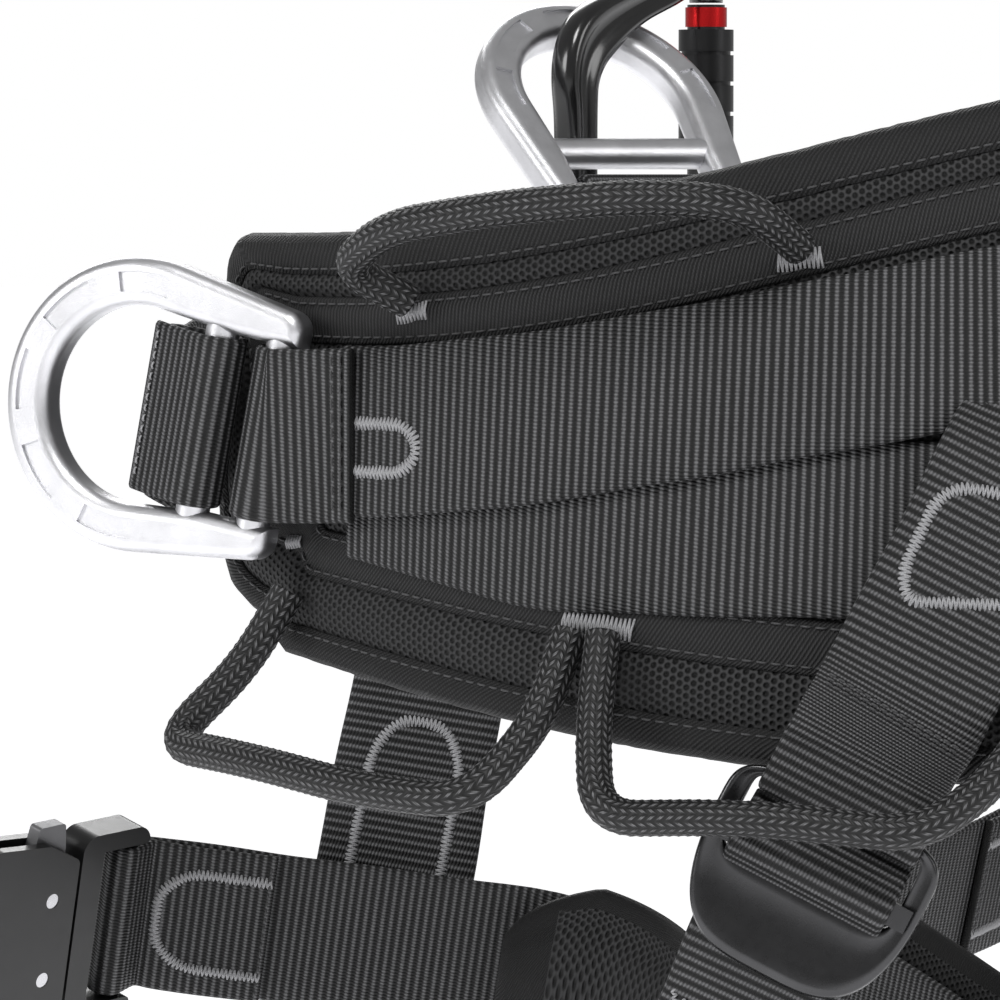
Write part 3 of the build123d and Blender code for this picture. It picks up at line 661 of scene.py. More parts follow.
def build_materials():
    return {
        "webbing": webbing_look(),
        "spacer_mesh": spacer_mesh_look(),
        "lining_mesh": fabric_look("lining_mesh", 0.02, twill=1.6),
        "foam": thread_look("foam", 0.06),
        "binding_tape": fabric_look("binding_tape", 0.020, twill=1.5),
        "band_fabric": fabric_look("band_fabric", 0.028, twill=1.2),
        "leg_padding": fabric_look("leg_padding", 0.016, twill=0.9),
        "braided_cover": braid_look(),
        "grey_thread": thread_look("grey_thread", 0.32),
        "dark_thread": thread_look("dark_thread", 0.055),
        "ring_alloy": metal_look("ring_alloy", 0.7, 0.36, grain=0.12),
        "black_steel": metal_look("black_steel", 0.07, 0.27, grain=0.02, metallic=1.0),
        "black_alloy": metal_look("black_alloy", 0.012, 0.34, grain=0.03, metallic=0.3, coat=0.15),
        "grey_lever": metal_look("grey_lever", 0.2, 0.42, grain=0.05, metallic=0.8),
        "screw_steel": metal_look("screw_steel", 0.55, 0.25, grain=0.02),
        "carabiner_alloy": metal_look("carabiner_alloy", 0.012, 0.2, grain=0.02, metallic=0.4, coat=0.5),
        "sleeve_alloy": metal_look("sleeve_alloy", 0.025, 0.3, grain=0.04, metallic=0.7),
        "red_ring": metal_look("red_ring", 0.5, 0.2, grain=0.01, metallic=0.8, tint=RED),
    }


MATERIALS = build_materials()


def finish_cad_nodes():
    """Gives every CAD node the finish of its slot."""
    slots = {row["node"]: row["material_slot"] for row in frame["record"]["subparts"]}
    for name, node in frame["nodes"].items():
        node.data.materials.clear()
        node.data.materials.append(MATERIALS[slots[name]])


# ---------------------------------------------------------------- waist pad

# Rounded front end of the pad from its top corner down to its bottom edge, as (s, z)
PAD_END = ((319.0, 54.0), (323.5, 50.0), (326.0, 40.0), (329.0, 20.0), (333.0, 0.0), (334.0, -12.0),
           (331.0, -26.0), (322.0, -38.0), (310.0, -44.0), (302.0, -46.5))
TOP_EDGE_END = 315.0
BOTTOM_EDGE_END = 296.0
MIDDLE_END = 268.0

# Widths from the rim at the top edge and at the bottom edge: binding, then the fabric band
RIM_WIDTH = (12.0, 9.5)
BAND_START = (18.5, 24.0)
BAND_END = (32.0, 38.0)

# Cross-section of the binding: share of the rim width and height off the pad's face
FOLD = ((1.0, 0.7), (0.8, 1.15), (0.55, 1.5), (0.25, 1.1), (0.08, -0.6), (0.0, -3.0), (0.0, -7.5),
        (0.1, -10.2), (0.4, -11.4), (0.8, -11.2), (1.0, -10.6), (1.0, -9.9), (0.5, -9.9), (0.25, -8.4),
        (0.25, -2.2), (0.5, -0.6), (1.0, -0.2))

# Cross-section of the fabric band: share of its width and height off the pad's face
BAND = ((0.0, 0.2), (0.06, 0.75), (0.16, 0.55), (0.3, 1.05), (0.5, 1.2), (0.7, 1.05), (0.84, 0.55),
        (0.94, 0.75), (1.0, 0.2), (0.94, -0.5), (0.5, -0.5), (0.06, -0.5))
QUILT_AT = (0.02, 0.06, 0.12, 0.22, 0.35, 0.5, 0.62, 0.68, 0.72, 0.78, 0.88, 1.0)
QUILT_PUFF = 4.2


def pad_rim():
    """Rim of the pad as (s, z), its middle line's points, the top edge's share and the length run."""
    top_run = np.linspace(TOP_EDGE_END, -TOP_EDGE_END, 260)
    corner_left = [(-s, z) for s, z in PAD_END]
    rim = [(s, pad_top(s)) for s in top_run] + corner_left
    rim += [(s, pad_bottom(s)) for s in top_run[::-1] if abs(s) < BOTTOM_EDGE_END]
    rim += [(-s, z) for s, z in reversed(corner_left)]
    line = rounded(rim + [rim[0]], 0.3, 4.0, 2)
    line, at = resample(line, 2.5)
    line = line[:-1]
    middle = []
    share = []
    for s, z in line:
        along = max(-MIDDLE_END, min(MIDDLE_END, s * 0.9))
        centre = 0.5 * (pad_top(along) + pad_bottom(along))
        middle.append((along, centre))
        share.append(min(1.0, max(0.0, (z + 20.0) / 60.0)))
    return line, np.array(middle), np.array(share), at[:-1]


def at_inset(line, middle, inset):
    """Points moved from the rim towards the pad's middle line by an inset in millimetres."""
    way = middle - line
    room = np.linalg.norm(way, axis=1)
    share = np.minimum(np.asarray(inset) / room, 1.0)
    return line + way * share[:, None]


def pad_points(flat, off):
    """Points in space for (s, z) points at heights off the pad's face."""
    off = np.broadcast_to(off, (len(flat),))
    return np.array([list(on_pad(s, z, o)) for (s, z), o in zip(flat, off)])


def blend_share(share, top, bottom):
    """A value at the pad's top edge and one at its bottom edge, mixed by the top edge's share."""
    return bottom + (top - bottom) * share


class PadEdge:
    """The pad's rim with the widths and the slight unevenness of what is sewn along it."""

    def __init__(self):
        self.line, self.middle, self.share, self.at = pad_rim()
        self.rim = blend_share(self.share, *RIM_WIDTH)
        self.start = blend_share(self.share, *BAND_START)
        self.stop = blend_share(self.share, *BAND_END)
        self.pucker = np.array([noise.noise(Vector((a * 0.09, 3.1, 0.0))) for a in self.at])
        self.fine = np.array([noise.noise(Vector((a * 0.33, 7.7, 0.0))) for a in self.at])
        self.room = np.linalg.norm(self.middle - self.line, axis=1)

    def inset(self, distance):
        return at_inset(self.line, self.middle, distance)

    def row(self, distance, off):
        """Ring of points on the pad at a distance in from the rim, and the same ring laid flat."""
        flat = self.inset(distance)
        return pad_points(flat, off), flat


def waist_pad():
    edge = PadEdge()
    pad_mesh(edge)
    pad_lining(edge)
    tape = edge_binding(edge)
    fabric_band(edge)
    face_outwards(tape)
    pad_stitching(edge)


def pad_mesh(edge):
    """Outer face: mesh bulges between the rim and the fabric band, flat under the webbing."""
    rim, start, stop = edge.rim, edge.start, edge.stop
    bulge = blend_share(edge.share, 1.3, 1.7)
    outer = [(rim - 3.0, -1.2), (rim - 0.6, -0.4)]
    for f in (0.15, 0.35, 0.5, 0.65, 0.85):
        outer.append((rim + (start - rim) * f, bulge * math.sin(math.pi * f) ** 0.7 + 0.3 * edge.pucker))
    outer += [(start, -0.3), (start + 4.0, -0.6), (stop - 2.0, -0.6), (stop + 0.3, -0.2)]
    outer += [(stop + 1.6, 0.35), (stop + 3.5, 0.35), (stop + 5.5, -0.1), (stop + 12.0, -0.2)]
    outer += [(stop + 12.0 + (edge.room - stop - 12.0) * f, -0.2) for f in (0.4, 0.7, 1.0)]
    rows = [edge.row(d, o) for d, o in outer] + [edge.row(d, -2.6) for d, _ in outer[::-1]]
    shell = skin_rings("waist_pad_mesh", rows)
    finish_piece(shell, "spacer_mesh", "waist_belt")
    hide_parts("pad_outer_shell", "pad_foam_core")


def pad_lining(edge):
    """Inner lining: quilted cushion towards the wearer."""
    rim, inner = edge.rim, []
    quilt = 0.5 + 0.5 * np.cos(edge.at / 33.0)
    for f in QUILT_AT:
        seam = 1.0 - math.exp(-((f - 0.66) / 0.035) ** 2)
        puff = QUILT_PUFF * min(1.0, (math.sin(math.pi * min(f * 1.6, 0.5)))) * seam
        inner.append((rim - 2.0 + (edge.room - rim + 2.0) * f, -9.8 - puff * (0.86 + 0.14 * quilt)))
    rows = [edge.row(d, -3.2) for d, _ in inner] + [edge.row(d, o) for d, o in inner[::-1]]
    lining = skin_rings("pad_lining", rows)
    finish_piece(lining, "lining_mesh", "waist_belt")
    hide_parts("pad_inner_lining")


def edge_binding(edge):
    """Tape folded over the pad's edge."""
    at, ring = edge.at, []
    for f, off in FOLD:
        seen = off > -0.5 or off < -10.0
        wobble = 0.35 * edge.pucker + 0.22 * edge.fine if seen else 0.0
        ring.append(edge.row(edge.rim * f + 0.25 * edge.fine, off + wobble)[0])
    along = (at.max() - at[::-1]).tolist() + [at.max()]
    tape = grid_object("edge_binding", np.stack(ring, axis=1)[::-1], along, 3.0 * np.arange(len(FOLD) + 1),
                       close_rows=True)
    finish_piece(tape, "binding_tape", "waist_belt")
    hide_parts("pad_edge_binding")
    return tape


def fabric_band(edge):
    """Band round the pad that carries the gear loops."""
    ring = []
    for f, off in BAND:
        wobble = 0.22 * edge.fine if off > 0 else 0.0
        ring.append(edge.row(edge.start + (edge.stop - edge.start) * f, off + wobble)[0])
    along = edge.at.tolist() + [edge.at.max() + 2.5]
    band = grid_object("pad_fabric_band", np.stack(ring, axis=1), along, 1.4 * np.arange(len(BAND) + 1),
                       close_rows=True)
    face_outwards(band)
    finish_piece(band, "binding_tape", "waist_belt", "band_fabric")


def pad_stitching(edge):
    rows = ((edge.rim - 1.6, 1.05), (edge.start + 2.0, 0.75), (edge.stop - 2.0, 0.75))
    for k, (inset, off) in enumerate(rows):
        flat = edge.inset(inset)
        running_stitch(f"pad_stitching_{k}", pad_surface(off), [np.vstack([flat, flat[:1]])], "waist_belt")


def skin_rings(name, rows):
    """Closed skin from rings of points that run out to the middle line and back."""
    points = np.stack([p for p, _ in rows])
    flat = np.stack([f for _, f in rows])
    count, around = points.shape[:2]
    faces, uvs = [], []
    for i in range(count):
        below = (i + 1) % count
        for j in range(around):
            right = (j + 1) % around
            quad = [(i, j), (below, j), (below, right), (i, right)]
            faces.append([a * around + b for a, b in quad])
            uvs += [tuple(flat[a, b]) for a, b in quad]
    obj = new_object(name, points.reshape(-1, 3).tolist(), faces, uvs)
    face_outwards(obj, merge=0.02)
    return obj


def face_outwards(obj, merge=0.0):
    """Turns faces outwards, once points closer than the merge distance are joined."""
    mesh = bmesh.new()
    mesh.from_mesh(obj.data)
    if merge:
        bmesh.ops.remove_doubles(mesh, verts=mesh.verts, dist=merge * MM)
    bmesh.ops.recalc_face_normals(mesh, faces=mesh.faces)
    mesh.to_mesh(obj.data)
    mesh.free()


# ---------------------------------------------------------------- belt webbing and rings

DOWN = np.array((0.0, 0.0, -1.0))
RING_WRAP = BAR_RADIUS + 0.5 + STRAP_THICK / 2


def side_ring_axes():
    """The left side ring's directions: to its crown, away from the wearer and down its bars."""
    flat = math.cos(RING_TILT)
    crown = np.array((math.cos(RING_AZIMUTH) * flat, math.sin(RING_AZIMUTH) * flat, math.sin(RING_TILT)))
    outward = np.array((-math.sin(RING_AZIMUTH), math.cos(RING_AZIMUTH), 0.0))
    return crown, outward, np.cross(outward, crown)


def belt_webbing():
    """The two straps that lie on the pad, one over the other."""
    layers = (("lower_belt_webbing", lower_centre, 1.6), ("upper_belt_webbing", upper_centre, 4.6))
    for name, centre, off in layers:
        strap = PadStrap(-BELT_END, BELT_END, centre, off, half=STRAP_HALF - 0.5)
        obj = webbing(name + "_woven", strap, "waist_belt")
        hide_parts(name)


def round_bar(centre, along, outward, radius, turns):
    """Points round a bar; turns in degrees from the along direction towards the outward one."""
    angles = [math.radians(t) for t in turns]
    return [centre + radius * (math.cos(a) * along + math.sin(a) * outward) for a in angles]


def rear_ring_loop(side, mirror, crown, outward, down):
    """Webbing from the belt's end round the ring's rear bar, with the tack that closes the belt's end."""
    level = upper_centre(262.0) - 1.0
    stops = [(np.array(on_pad(s, level, off)), DOWN) for s, off in ((260.0, 7.2), (266.0, 7.4))]
    turns = (105, 60, 15, -30, -75, -110)
    stops += [(p, down) for p in round_bar(np.array(SIDE_BAR), crown, outward, RING_WRAP, turns)]
    stops += [(np.array(on_pad(266.0, level, 2.2)), DOWN)]
    loop = Strap(stops, 0.48)
    obj = webbing(f"{side}_rear_loop_webbing", loop, "waist_belt", mirror)
    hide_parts(f"{side}_rear_ring_loop")
    rows = [[(u, -20.5), (u, 20.5)] for u in (3.0, 6.0)]
    running_stitch(f"{side}_rear_loop_stitching", strap_top(loop, 5, outward), rows, "waist_belt", mirror)
    tack = ((262.5, -6.0), (245.0, -6.0), (240.0, -2.5), (240.0, 3.0), (245.0, 6.5), (262.5, 6.5))
    satin(f"{side}_end_tack", pad_surface(5.9), tack, 3.2, "waist_belt", mirror)


def ring_loops(side, mirror):
    crown, outward, down = side_ring_axes()
    rear_ring_loop(side, mirror, crown, outward, down)
    bar1 = np.array(SIDE_BAR) + crown * BAR_SPACING
    tail_out = bar1 + crown * 20.0 - outward * 1.8
    tail_in = bar1 + crown * 19.0 - outward * 5.4
    stops = [(tail_out, down)]
    turns = (75, 120, 165, 210, 255, 285)
    stops += [(p, down) for p in round_bar(bar1, crown, outward, RING_WRAP, turns)]
    stops += [(tail_in, down), (np.array((206.0, -72.0, 3.5)), DOWN), (np.array((200.0, -84.0, 4.0)), DOWN)]
    loop = Strap(stops, 0.48)
    obj = webbing(f"{side}_front_loop_webbing", loop, None, mirror)
    fixed = np.array((204.0, -76.0, 3.5)) * MM
    on_side(tail_in * MM, mirror)
    on_side(fixed, mirror)
    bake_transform(obj)
    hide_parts(f"{side}_front_ring_loop")
    running_stitch(f"{side}_front_loop_stitching", strap_top(loop, 3, outward),
                   [[(2.0, -20.0), (2.0, 20.0)]], f"{side}_ring", mirror, length=1.8, gap=1.0,
                   material="grey_thread")


def gear_loops():
    """Braided sleeves over a stiff core, their herringbone relief modelled in the mesh."""
    for name, route in GEAR_LOOPS.items():
        points = rounded([list(on_pad(*p)) for p in route], 0.45, 40.0, 14)
        line, at = resample(points, 0.6)
        sides = 3 * BRAID_COLUMNS
        column = np.arange(sides) / 3.0
        inside = column % 1.0
        slope = np.where(np.floor(column) % 2 == 0, -BRAID_LEAN, BRAID_LEAN)
        phase = at[:, None] / BRAID_PITCH + ((inside - 0.5) * slope)[None, :]
        lane = np.sin(math.pi * np.clip(inside + 0.15, 0, 1))
        relief = (0.5 + 0.5 * np.sin(2 * math.pi * phase)) * lane[None, :]
        rows = tube_rows(line, BRAID_RADIUS - 0.12 + 0.3 * relief, sides)
        for side, mirror in SIDES:
            obj = grid_object(f"{side}_{name}_braid", rows, at, np.arange(sides + 1) / sides, mirror=mirror)
            face_outwards(obj)
            finish_piece(obj, "braided_cover", f"{side}_{name}")
            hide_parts(f"{side}_{name}")


# Name, ends as (s, z) and width of each left-hand tack
BAR_TACKS = (
    ("upper_front", (250.5, 34.2), (241.5, 35.6), 4.6),
    ("upper_rear", (143.0, 48.4), (132.0, 49.6), 5.0),
    ("lower", (196.0, -42.0), (177.0, -44.0), 5.4),
    ("front", (291.0, -25.5), (285.5, -25.0), 3.2),
)


def bar_tacks():
    """Light grey zigzag patches where the gear loops are sewn to the bands."""
    for side, mirror in SIDES:
        for name, start, end, width in BAR_TACKS:
            satin(f"{side}_{name}_tack", pad_surface(1.6), (start, end), width, "waist_belt", mirror)
    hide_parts("belt_bar_tacks")


# ---------------------------------------------------------------- straps that hold the leg loops

class Plane:
    """Local frame: an origin with unit x, y and z directions."""

    def __init__(self, origin, x, z):
        self.origin = np.asarray(origin, float)
        self.x = np.asarray(x, float) / np.linalg.norm(x)
        z = np.asarray(z, float) - self.x * np.dot(z, self.x)
        self.z = z / np.linalg.norm(z)
        self.y = np.cross(self.z, self.x)

    def at(self, x, y=0.0, z=0.0):
        return self.origin + self.x * x + self.y * y + self.z * z


ADJUSTER_S = 122.0
ADJUSTER_CENTRE = (131.0, 128.0, -98.0)
REAR_SLANT = math.radians(27.0)
REAR_FOOT = np.array((150.0, 74.0, -206.0))
REAR_TAIL = np.array((151.0, 67.0, -236.0))

# Rear strap from the belt to the adjuster: (s, z, distance off the pad), then (y, z) round the frame's bar
REAR_ON_BELT = ((67.0, 22.0, 4.0), (77.0, 4.0, 8.2), (88.0, -18.0, 7.6), (99.0, -40.0, 8.0),
                (109.0, -60.0, 12.0))
REAR_ROUND_BAR = ((27.0, 4.0), (17.0, 4.2), (10.0, 3.0), (8.6, 0.0), (10.5, -3.2), (17.0, -4.0), (27.0, -1.5))
LOWER_ROUND_BAR = ((7.0, -3.4), (2.5, 2.0), (-1.5, 6.0), (-6.5, 6.0), (-10.5, 0.5), (-17.0, -4.0),
                   (-30.0, -4.5))
REAR_TACK = ((33.0, 16.0), (43.0, -16.5), (67.0, -15.5), (74.0, -11.0), (60.0, 17.0), (33.0, 16.0))


def adjuster_plane():
    """X across the rear strap, Y up it and Z away from the wearer."""
    _, _, normal = plan_point(ADJUSTER_S)
    normal = math.radians(normal)
    forward = np.array((math.sin(normal), -math.cos(normal), 0.0))
    across = forward * math.cos(REAR_SLANT) + np.array((0.0, 0.0, math.sin(REAR_SLANT)))
    return Plane(ADJUSTER_CENTRE, -across, (math.cos(normal), math.sin(normal), 0.0))


def rear_lifter(side, mirror):
    """Strap from the belt round the adjuster's top bar, and the strap from the adjuster to the leg loop."""
    plane = adjuster_plane()
    across = plane.x
    pad_across = np.array(on_pad(60.0, 20.0, 5.0)) - np.array(on_pad(100.0, 0.0, 5.0))
    stops = [(np.array(on_pad(*p)), pad_across) for p in REAR_ON_BELT]
    stops += [(plane.at(0, y, z), across) for y, z in REAR_ROUND_BAR]
    upper = Strap(stops, 0.48, half=STRAP_HALF - 0.6)
    obj = webbing(f"{side}_rear_strap", upper, None, mirror)
    start = np.array(on_pad(104.0, -52.0, 8.0)) * MM
    end = plane.at(0, 20.0, 4.0) * MM
    on_side(start, mirror)
    on_side(end, mirror)
    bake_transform(obj)
    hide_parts(f"{side}_rear_lifter_upper")
    top = strap_top(upper, 30, plane.z)
    satin(f"{side}_rear_strap_tack", top, REAR_TACK, 3.0, "waist_belt", mirror)
    rows = [[(u, -19.0), (u, 19.0)] for u in (104.0, 106.6, 109.2)]
    running_stitch(f"{side}_rear_strap_stitching", top, rows, "waist_belt", mirror, length=1.7, gap=0.8)

    stops = [(plane.at(0, y, z), across) for y, z in LOWER_ROUND_BAR]
    stops += [(REAR_FOOT, across), (REAR_TAIL, across)]
    lower = Strap(stops, 0.48, half=STRAP_HALF - 0.6)
    obj = webbing(f"{side}_rear_strap_lower", lower, f"{side}_leg", mirror)
    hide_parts(f"{side}_rear_lifter_lower")
    zigzag = [(64.0 + (2.0 if k % 2 else -2.0), -19.0 + k * 2.2) for k in range(18)]
    satin(f"{side}_rear_zigzag", strap_top(lower, 30, plane.z), zigzag, 1.2, f"{side}_leg", mirror,
          pitch=0.8, radius=0.35)
    adjuster_frame(side, mirror, plane)


# Section of the adjuster's rim: share of its width from the outer edge, and height
PLATE_SECTION = ((0.0, -1.2), (-0.03, 0.0), (0.02, 1.3), (0.10, 2.0), (0.3, 1.9), (0.55, 1.35), (0.8, 1.5),
                 (0.93, 1.7), (0.97, 1.0), (0.98, 0.0), (0.97, -1.2), (0.5, -1.2))
PLATE_AROUND = 96


def adjuster_frame(side, mirror, plane):
    """Stamped frame: rounded window, deep curved lower lip with rolled edges."""
    outer, inner = [], []
    for k in range(PLATE_AROUND):
        a = 2 * math.pi * k / PLATE_AROUND
        c, s = math.cos(a), math.sin(a)
        deep, power = (15.2, 0.45) if s > 0 else (32.0, 0.85)
        outer.append((29.0 * bent(c, 0.55), bent(s, power) * deep))
        inner.append((23.2 * bent(c, 0.22), 1.5 + 10.4 * bent(s, 0.22)))
    outer, inner = np.array(outer), np.array(inner)
    rows = []
    for f, z in PLATE_SECTION:
        flat = outer + (inner - outer) * f
        lip = np.clip((-flat[:, 1] - 14.0) / 18.0, 0.0, 1.0)
        rows.append([plane.at(x, y, z + 3.0 * h * h) for (x, y), h in zip(flat, lip)])
    obj = grid_object(f"{side}_adjuster_plate", np.array(rows).transpose(1, 0, 2),
                      np.arange(PLATE_AROUND + 1) * 2.0, np.arange(len(PLATE_SECTION) + 1) * 2.0,
                      close_rows=True, mirror=mirror)
    face_outwards(obj)
    finish_piece(obj, "black_steel", f"{side}_leg")
    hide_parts(f"{side}_adjuster_frame")


def leg_plane():
    """Plane of the left leg loop, its origin at the buckle's front corner."""
    return Plane((150.0, -200.0, -138.0), (1.0, 0.0, -0.02), (0.02, 0.33, 1.0))


LEG_CORNERS = ((0.0, 0.0), (101.0, 27.0), (94.0, 185.0), (0.0, 300.0), (-112.0, 205.0), (-124.0, 70.0))
LEG_ROUTE = ((103.6, 46.0), (101.5, 80.0), (94.0, 185.0), (0.0, 300.0), (-112.0, 205.0), (-124.0, 70.0),
             (-46.0, 26.0), (-4.0, 2.0))
LEG_TAIL = ((-2.5, 4.6), (-30.0, 20.2))
LEG_SLACK = ((100.5, 30.5), (101.5, 44.0), (100.8, 66.0))
MALE_BAR = 21.5
FEMALE_BAR = -45.0
SETBACK = 10.0
LOOP_REACH = 12.0
BUCKLE_WRAP = 5.2
BUCKLE_TURNS = (70, 35, 0, -35, -70)
LEG_PAD_ENDS = ((-86.0, 49.0), (66.0, 222.0))
LEG_PAD_INSET = 9.2
LEG_PAD_HEIGHT = (-41.0, 31.0)
LEG_PAD_THICK = 9.5
LEG_PAD_AROUND = 48
LEG_PAD_TAPER = 26.0

# Front lifters: the right one's belt runs 2.5 mm further out and turns less
LIFTER_TOP_Y = {"left": -161.3, "right": -163.8}
BELT_TURN = {"left": -0.11, "right": 0.05}
LIFTER_ACROSS = np.array((-0.87, 0.49, 0.0))
LIFTER_OUTSIDE = np.array((-0.49, -0.87, 0.0))


def leg_buckle_plane(plane):
    """Buckle frame: X from the female half to the male half."""
    corner, side = np.array(LEG_CORNERS[0]), np.array(LEG_CORNERS[1])
    along = (side - corner) / np.linalg.norm(side - corner)
    origin = corner + along * (MALE_BAR + SETBACK)
    world = plane.at(origin[0], origin[1])
    x = -(plane.x * along[0] + plane.y * along[1])
    return Plane(world, x, plane.x * along[1] - plane.y * along[0])


def round_buckle_bar(plane, bar, away, across):
    """Strap stops round one bar of a buckle; away is the direction along X in which the strap leaves."""
    angles = [math.radians(t) for t in BUCKLE_TURNS]
    return [(plane.at(bar - away * BUCKLE_WRAP * math.cos(a), 0, BUCKLE_WRAP * math.sin(a)), across)
            for a in angles]


def strap_end(plane, tail):
    """Strap end looped round the female half's bar."""
    across = plane.y
    stops = [(plane.at(FEMALE_BAR - reach, 0, 1.3), across) for reach in (tail, LOOP_REACH)]
    stops += round_buckle_bar(plane, FEMALE_BAR, -1.0, across)
    return Strap(stops + [(plane.at(FEMALE_BAR - LOOP_REACH, 0, -1.3), across)], 0.48)


def leg_loop(side, mirror):
    plane = leg_plane()
    buckle = leg_buckle_plane(plane)
    body = f"{side}_leg"
    main = leg_strap(side, mirror, plane, buckle, body)
    leg_strap_end(side, mirror, plane, buckle, body)
    leg_pad(side, mirror, plane, body, main)
    front_lifter(side, mirror, body)


def leg_strap(side, mirror, plane, buckle, body):
    """Main strap from behind the female half right round the thigh to the male half's bar."""
    across = plane.z
    stops = [(plane.at(*p), across) for p in LEG_ROUTE] + [(buckle.at(MALE_BAR + 9.0, 0, 1.4), across)]
    stops += round_buckle_bar(buckle, MALE_BAR, 1.0, across) + [(buckle.at(MALE_BAR + 9.0, 0, -1.3), across)]
    stops += [(plane.at(*p), across) for p in LEG_TAIL]
    main = Strap(stops, 0.47, most=60.0)
    obj = webbing(f"{side}_leg_webbing", main, body, mirror)
    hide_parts(f"{side}_leg_strap")
    inward = strap_top(main, -8, plane.y)
    length = main.length
    tack = ((length - 1.0, 14.5), (length - 24.0, 14.5), (length - 32.0, 8.0), (length - 32.0, -8.0),
            (length - 24.0, -14.5), (length - 1.0, -14.5))
    satin(f"{side}_leg_tack", inward, tack, 3.0, body, mirror)
    running_stitch(f"{side}_leg_seam", inward, [[(length - 1.5, -20.0), (length - 1.5, 20.0)]], body, mirror,
                   length=1.6, gap=0.9)
    return main


def leg_strap_end(side, mirror, plane, buckle, body):
    """Strap end on the sliding half, and the slack strap beyond it."""
    end = strap_end(buckle, LOOP_REACH + 7.0)
    obj = webbing(f"{side}_buckle_end_webbing", end, f"{side}_leg_buckle", mirror)
    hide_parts(f"{side}_leg_buckle_strap_end")
    stops = [(buckle.at(-53.0, 0, -1.6), plane.z), (buckle.at(-61.0, 0, -1.4), plane.z)]
    stops += [(plane.at(*p), plane.z) for p in LEG_SLACK]
    slack = Strap(stops, 0.47, half=STRAP_HALF + 0.2)
    obj = webbing(f"{side}_leg_slack_webbing", slack, body, mirror)
    on_side(buckle.x, mirror)
    on_side(buckle.at(-76.0) * MM, mirror)
    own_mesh(obj)


def front_lifter(side, mirror, body):
    """Strap sewn to the outside of the front belt and to the outside of the leg strap."""
    top, foot = np.array((62.0, LIFTER_TOP_Y[side], 2.0)), np.array((87.0, -166.0, -126.0))
    along_belt = np.array((-1.0, BELT_TURN[side], 0.0))
    middle = (top + foot) / 2
    stops = [(top + np.array((-2.0, 0.0, 23.0)), along_belt), (top, along_belt)]
    stops += [(middle, along_belt + LIFTER_ACROSS), (foot + LIFTER_OUTSIDE * 2.2, LIFTER_ACROSS)]
    stops += [(foot + LIFTER_OUTSIDE * 3.0 + np.array((4.0, 0.0, -20.0)), LIFTER_ACROSS)]
    lifter = Strap(stops, 0.45)
    obj = webbing(f"{side}_front_strap", lifter, None, mirror)
    below_belt = top - np.array((0.0, 0.0, 6.0))
    on_side(below_belt * MM, mirror)
    on_side(middle * MM, mirror)
    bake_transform(obj)
    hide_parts(f"{side}_front_lifter")
    total = lifter.length
    tack = ((total - 18.0, -13.0), (total - 52.0, -13.0), (total - 62.0, -7.0), (total - 62.0, 7.0),
            (total - 52.0, 13.0), (total - 18.0, 13.0))
    for face, tag in ((lifter.normal[0], "front"), (-lifter.normal[0], "back")):
        satin(f"{side}_front_strap_{tag}_tack", strap_top(lifter, 0, face), tack, 3.0, body, mirror)
    box = ((4.0, -15.0), (4.0, 15.0), (19.0, 15.0), (19.0, -15.0), (4.0, -15.0))
    front = strap_top(lifter, 4, (0.0, -1.0, 0.0))
    satin(f"{side}_front_strap_top_tack", front, box, 2.6, "waist_belt", mirror)


def leg_pad(side, mirror, plane, body, strap):
    """Crescent cushion along the inside of the leg strap, with mesh panels."""
    ends = [int(np.argmin(np.linalg.norm(strap.pos - plane.at(x, y), axis=1))) for x, y in LEG_PAD_ENDS]
    run = slice(min(ends), max(ends), 3)
    inward = strap.normal[run]
    middle = plane.at(0.0, 150.0)
    if np.dot(inward[len(inward) // 2], middle - strap.pos[run][len(inward) // 2]) < 0:
        inward = -inward
    line, at = resample(strap.pos[run] + inward * LEG_PAD_INSET, 3.0)
    across = np.broadcast_to(plane.z, line.shape)
    _, up, normal = frames_along(line, across)
    total = at[-1]
    rows = []
    for k, (point, u, n) in enumerate(zip(line, up, normal)):
        f = at[k] / total
        taper = min(1.0, (min(f, 1 - f) * total / LEG_PAD_TAPER)) ** 0.5
        section_at = [cushion_point(j, max(taper, 0.12), at[k]) for j in range(LEG_PAD_AROUND)]
        rows.append([point + u * height + n * depth for height, depth in section_at])
    rows = np.array(rows)
    leg_pad_panel(side, mirror, rows, at, body)
    obj = grid_object(f"{side}_leg_cushion", rows, at, np.arange(LEG_PAD_AROUND + 1) * 3.0, mirror=mirror)
    face_outwards(obj)
    finish_piece(obj, "leg_padding", body)
    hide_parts(f"{side}_leg_pad")


def cushion_point(j, taper, run):
    """Height and depth of one point round the cushion's creased section, at a distance along it."""
    low, high = LEG_PAD_HEIGHT
    a = 2 * math.pi * j / LEG_PAD_AROUND
    h = bent(math.cos(a), 0.75)
    t = bent(math.sin(a), 0.8)
    height = 0.5 * (low + high) + h * 0.5 * (high - low) * (0.35 + 0.65 * taper)
    crease = 1.0 - 0.28 * math.exp(-((abs(h) - 0.72) / 0.07) ** 2)
    depth = t * LEG_PAD_THICK * 0.5 * (1.0 + 0.45 * (1 - h * h)) * crease * (0.3 + 0.7 * taper)
    return height, depth + 0.5 * noise.noise(Vector((run * 0.05, h * 2.0, t)))


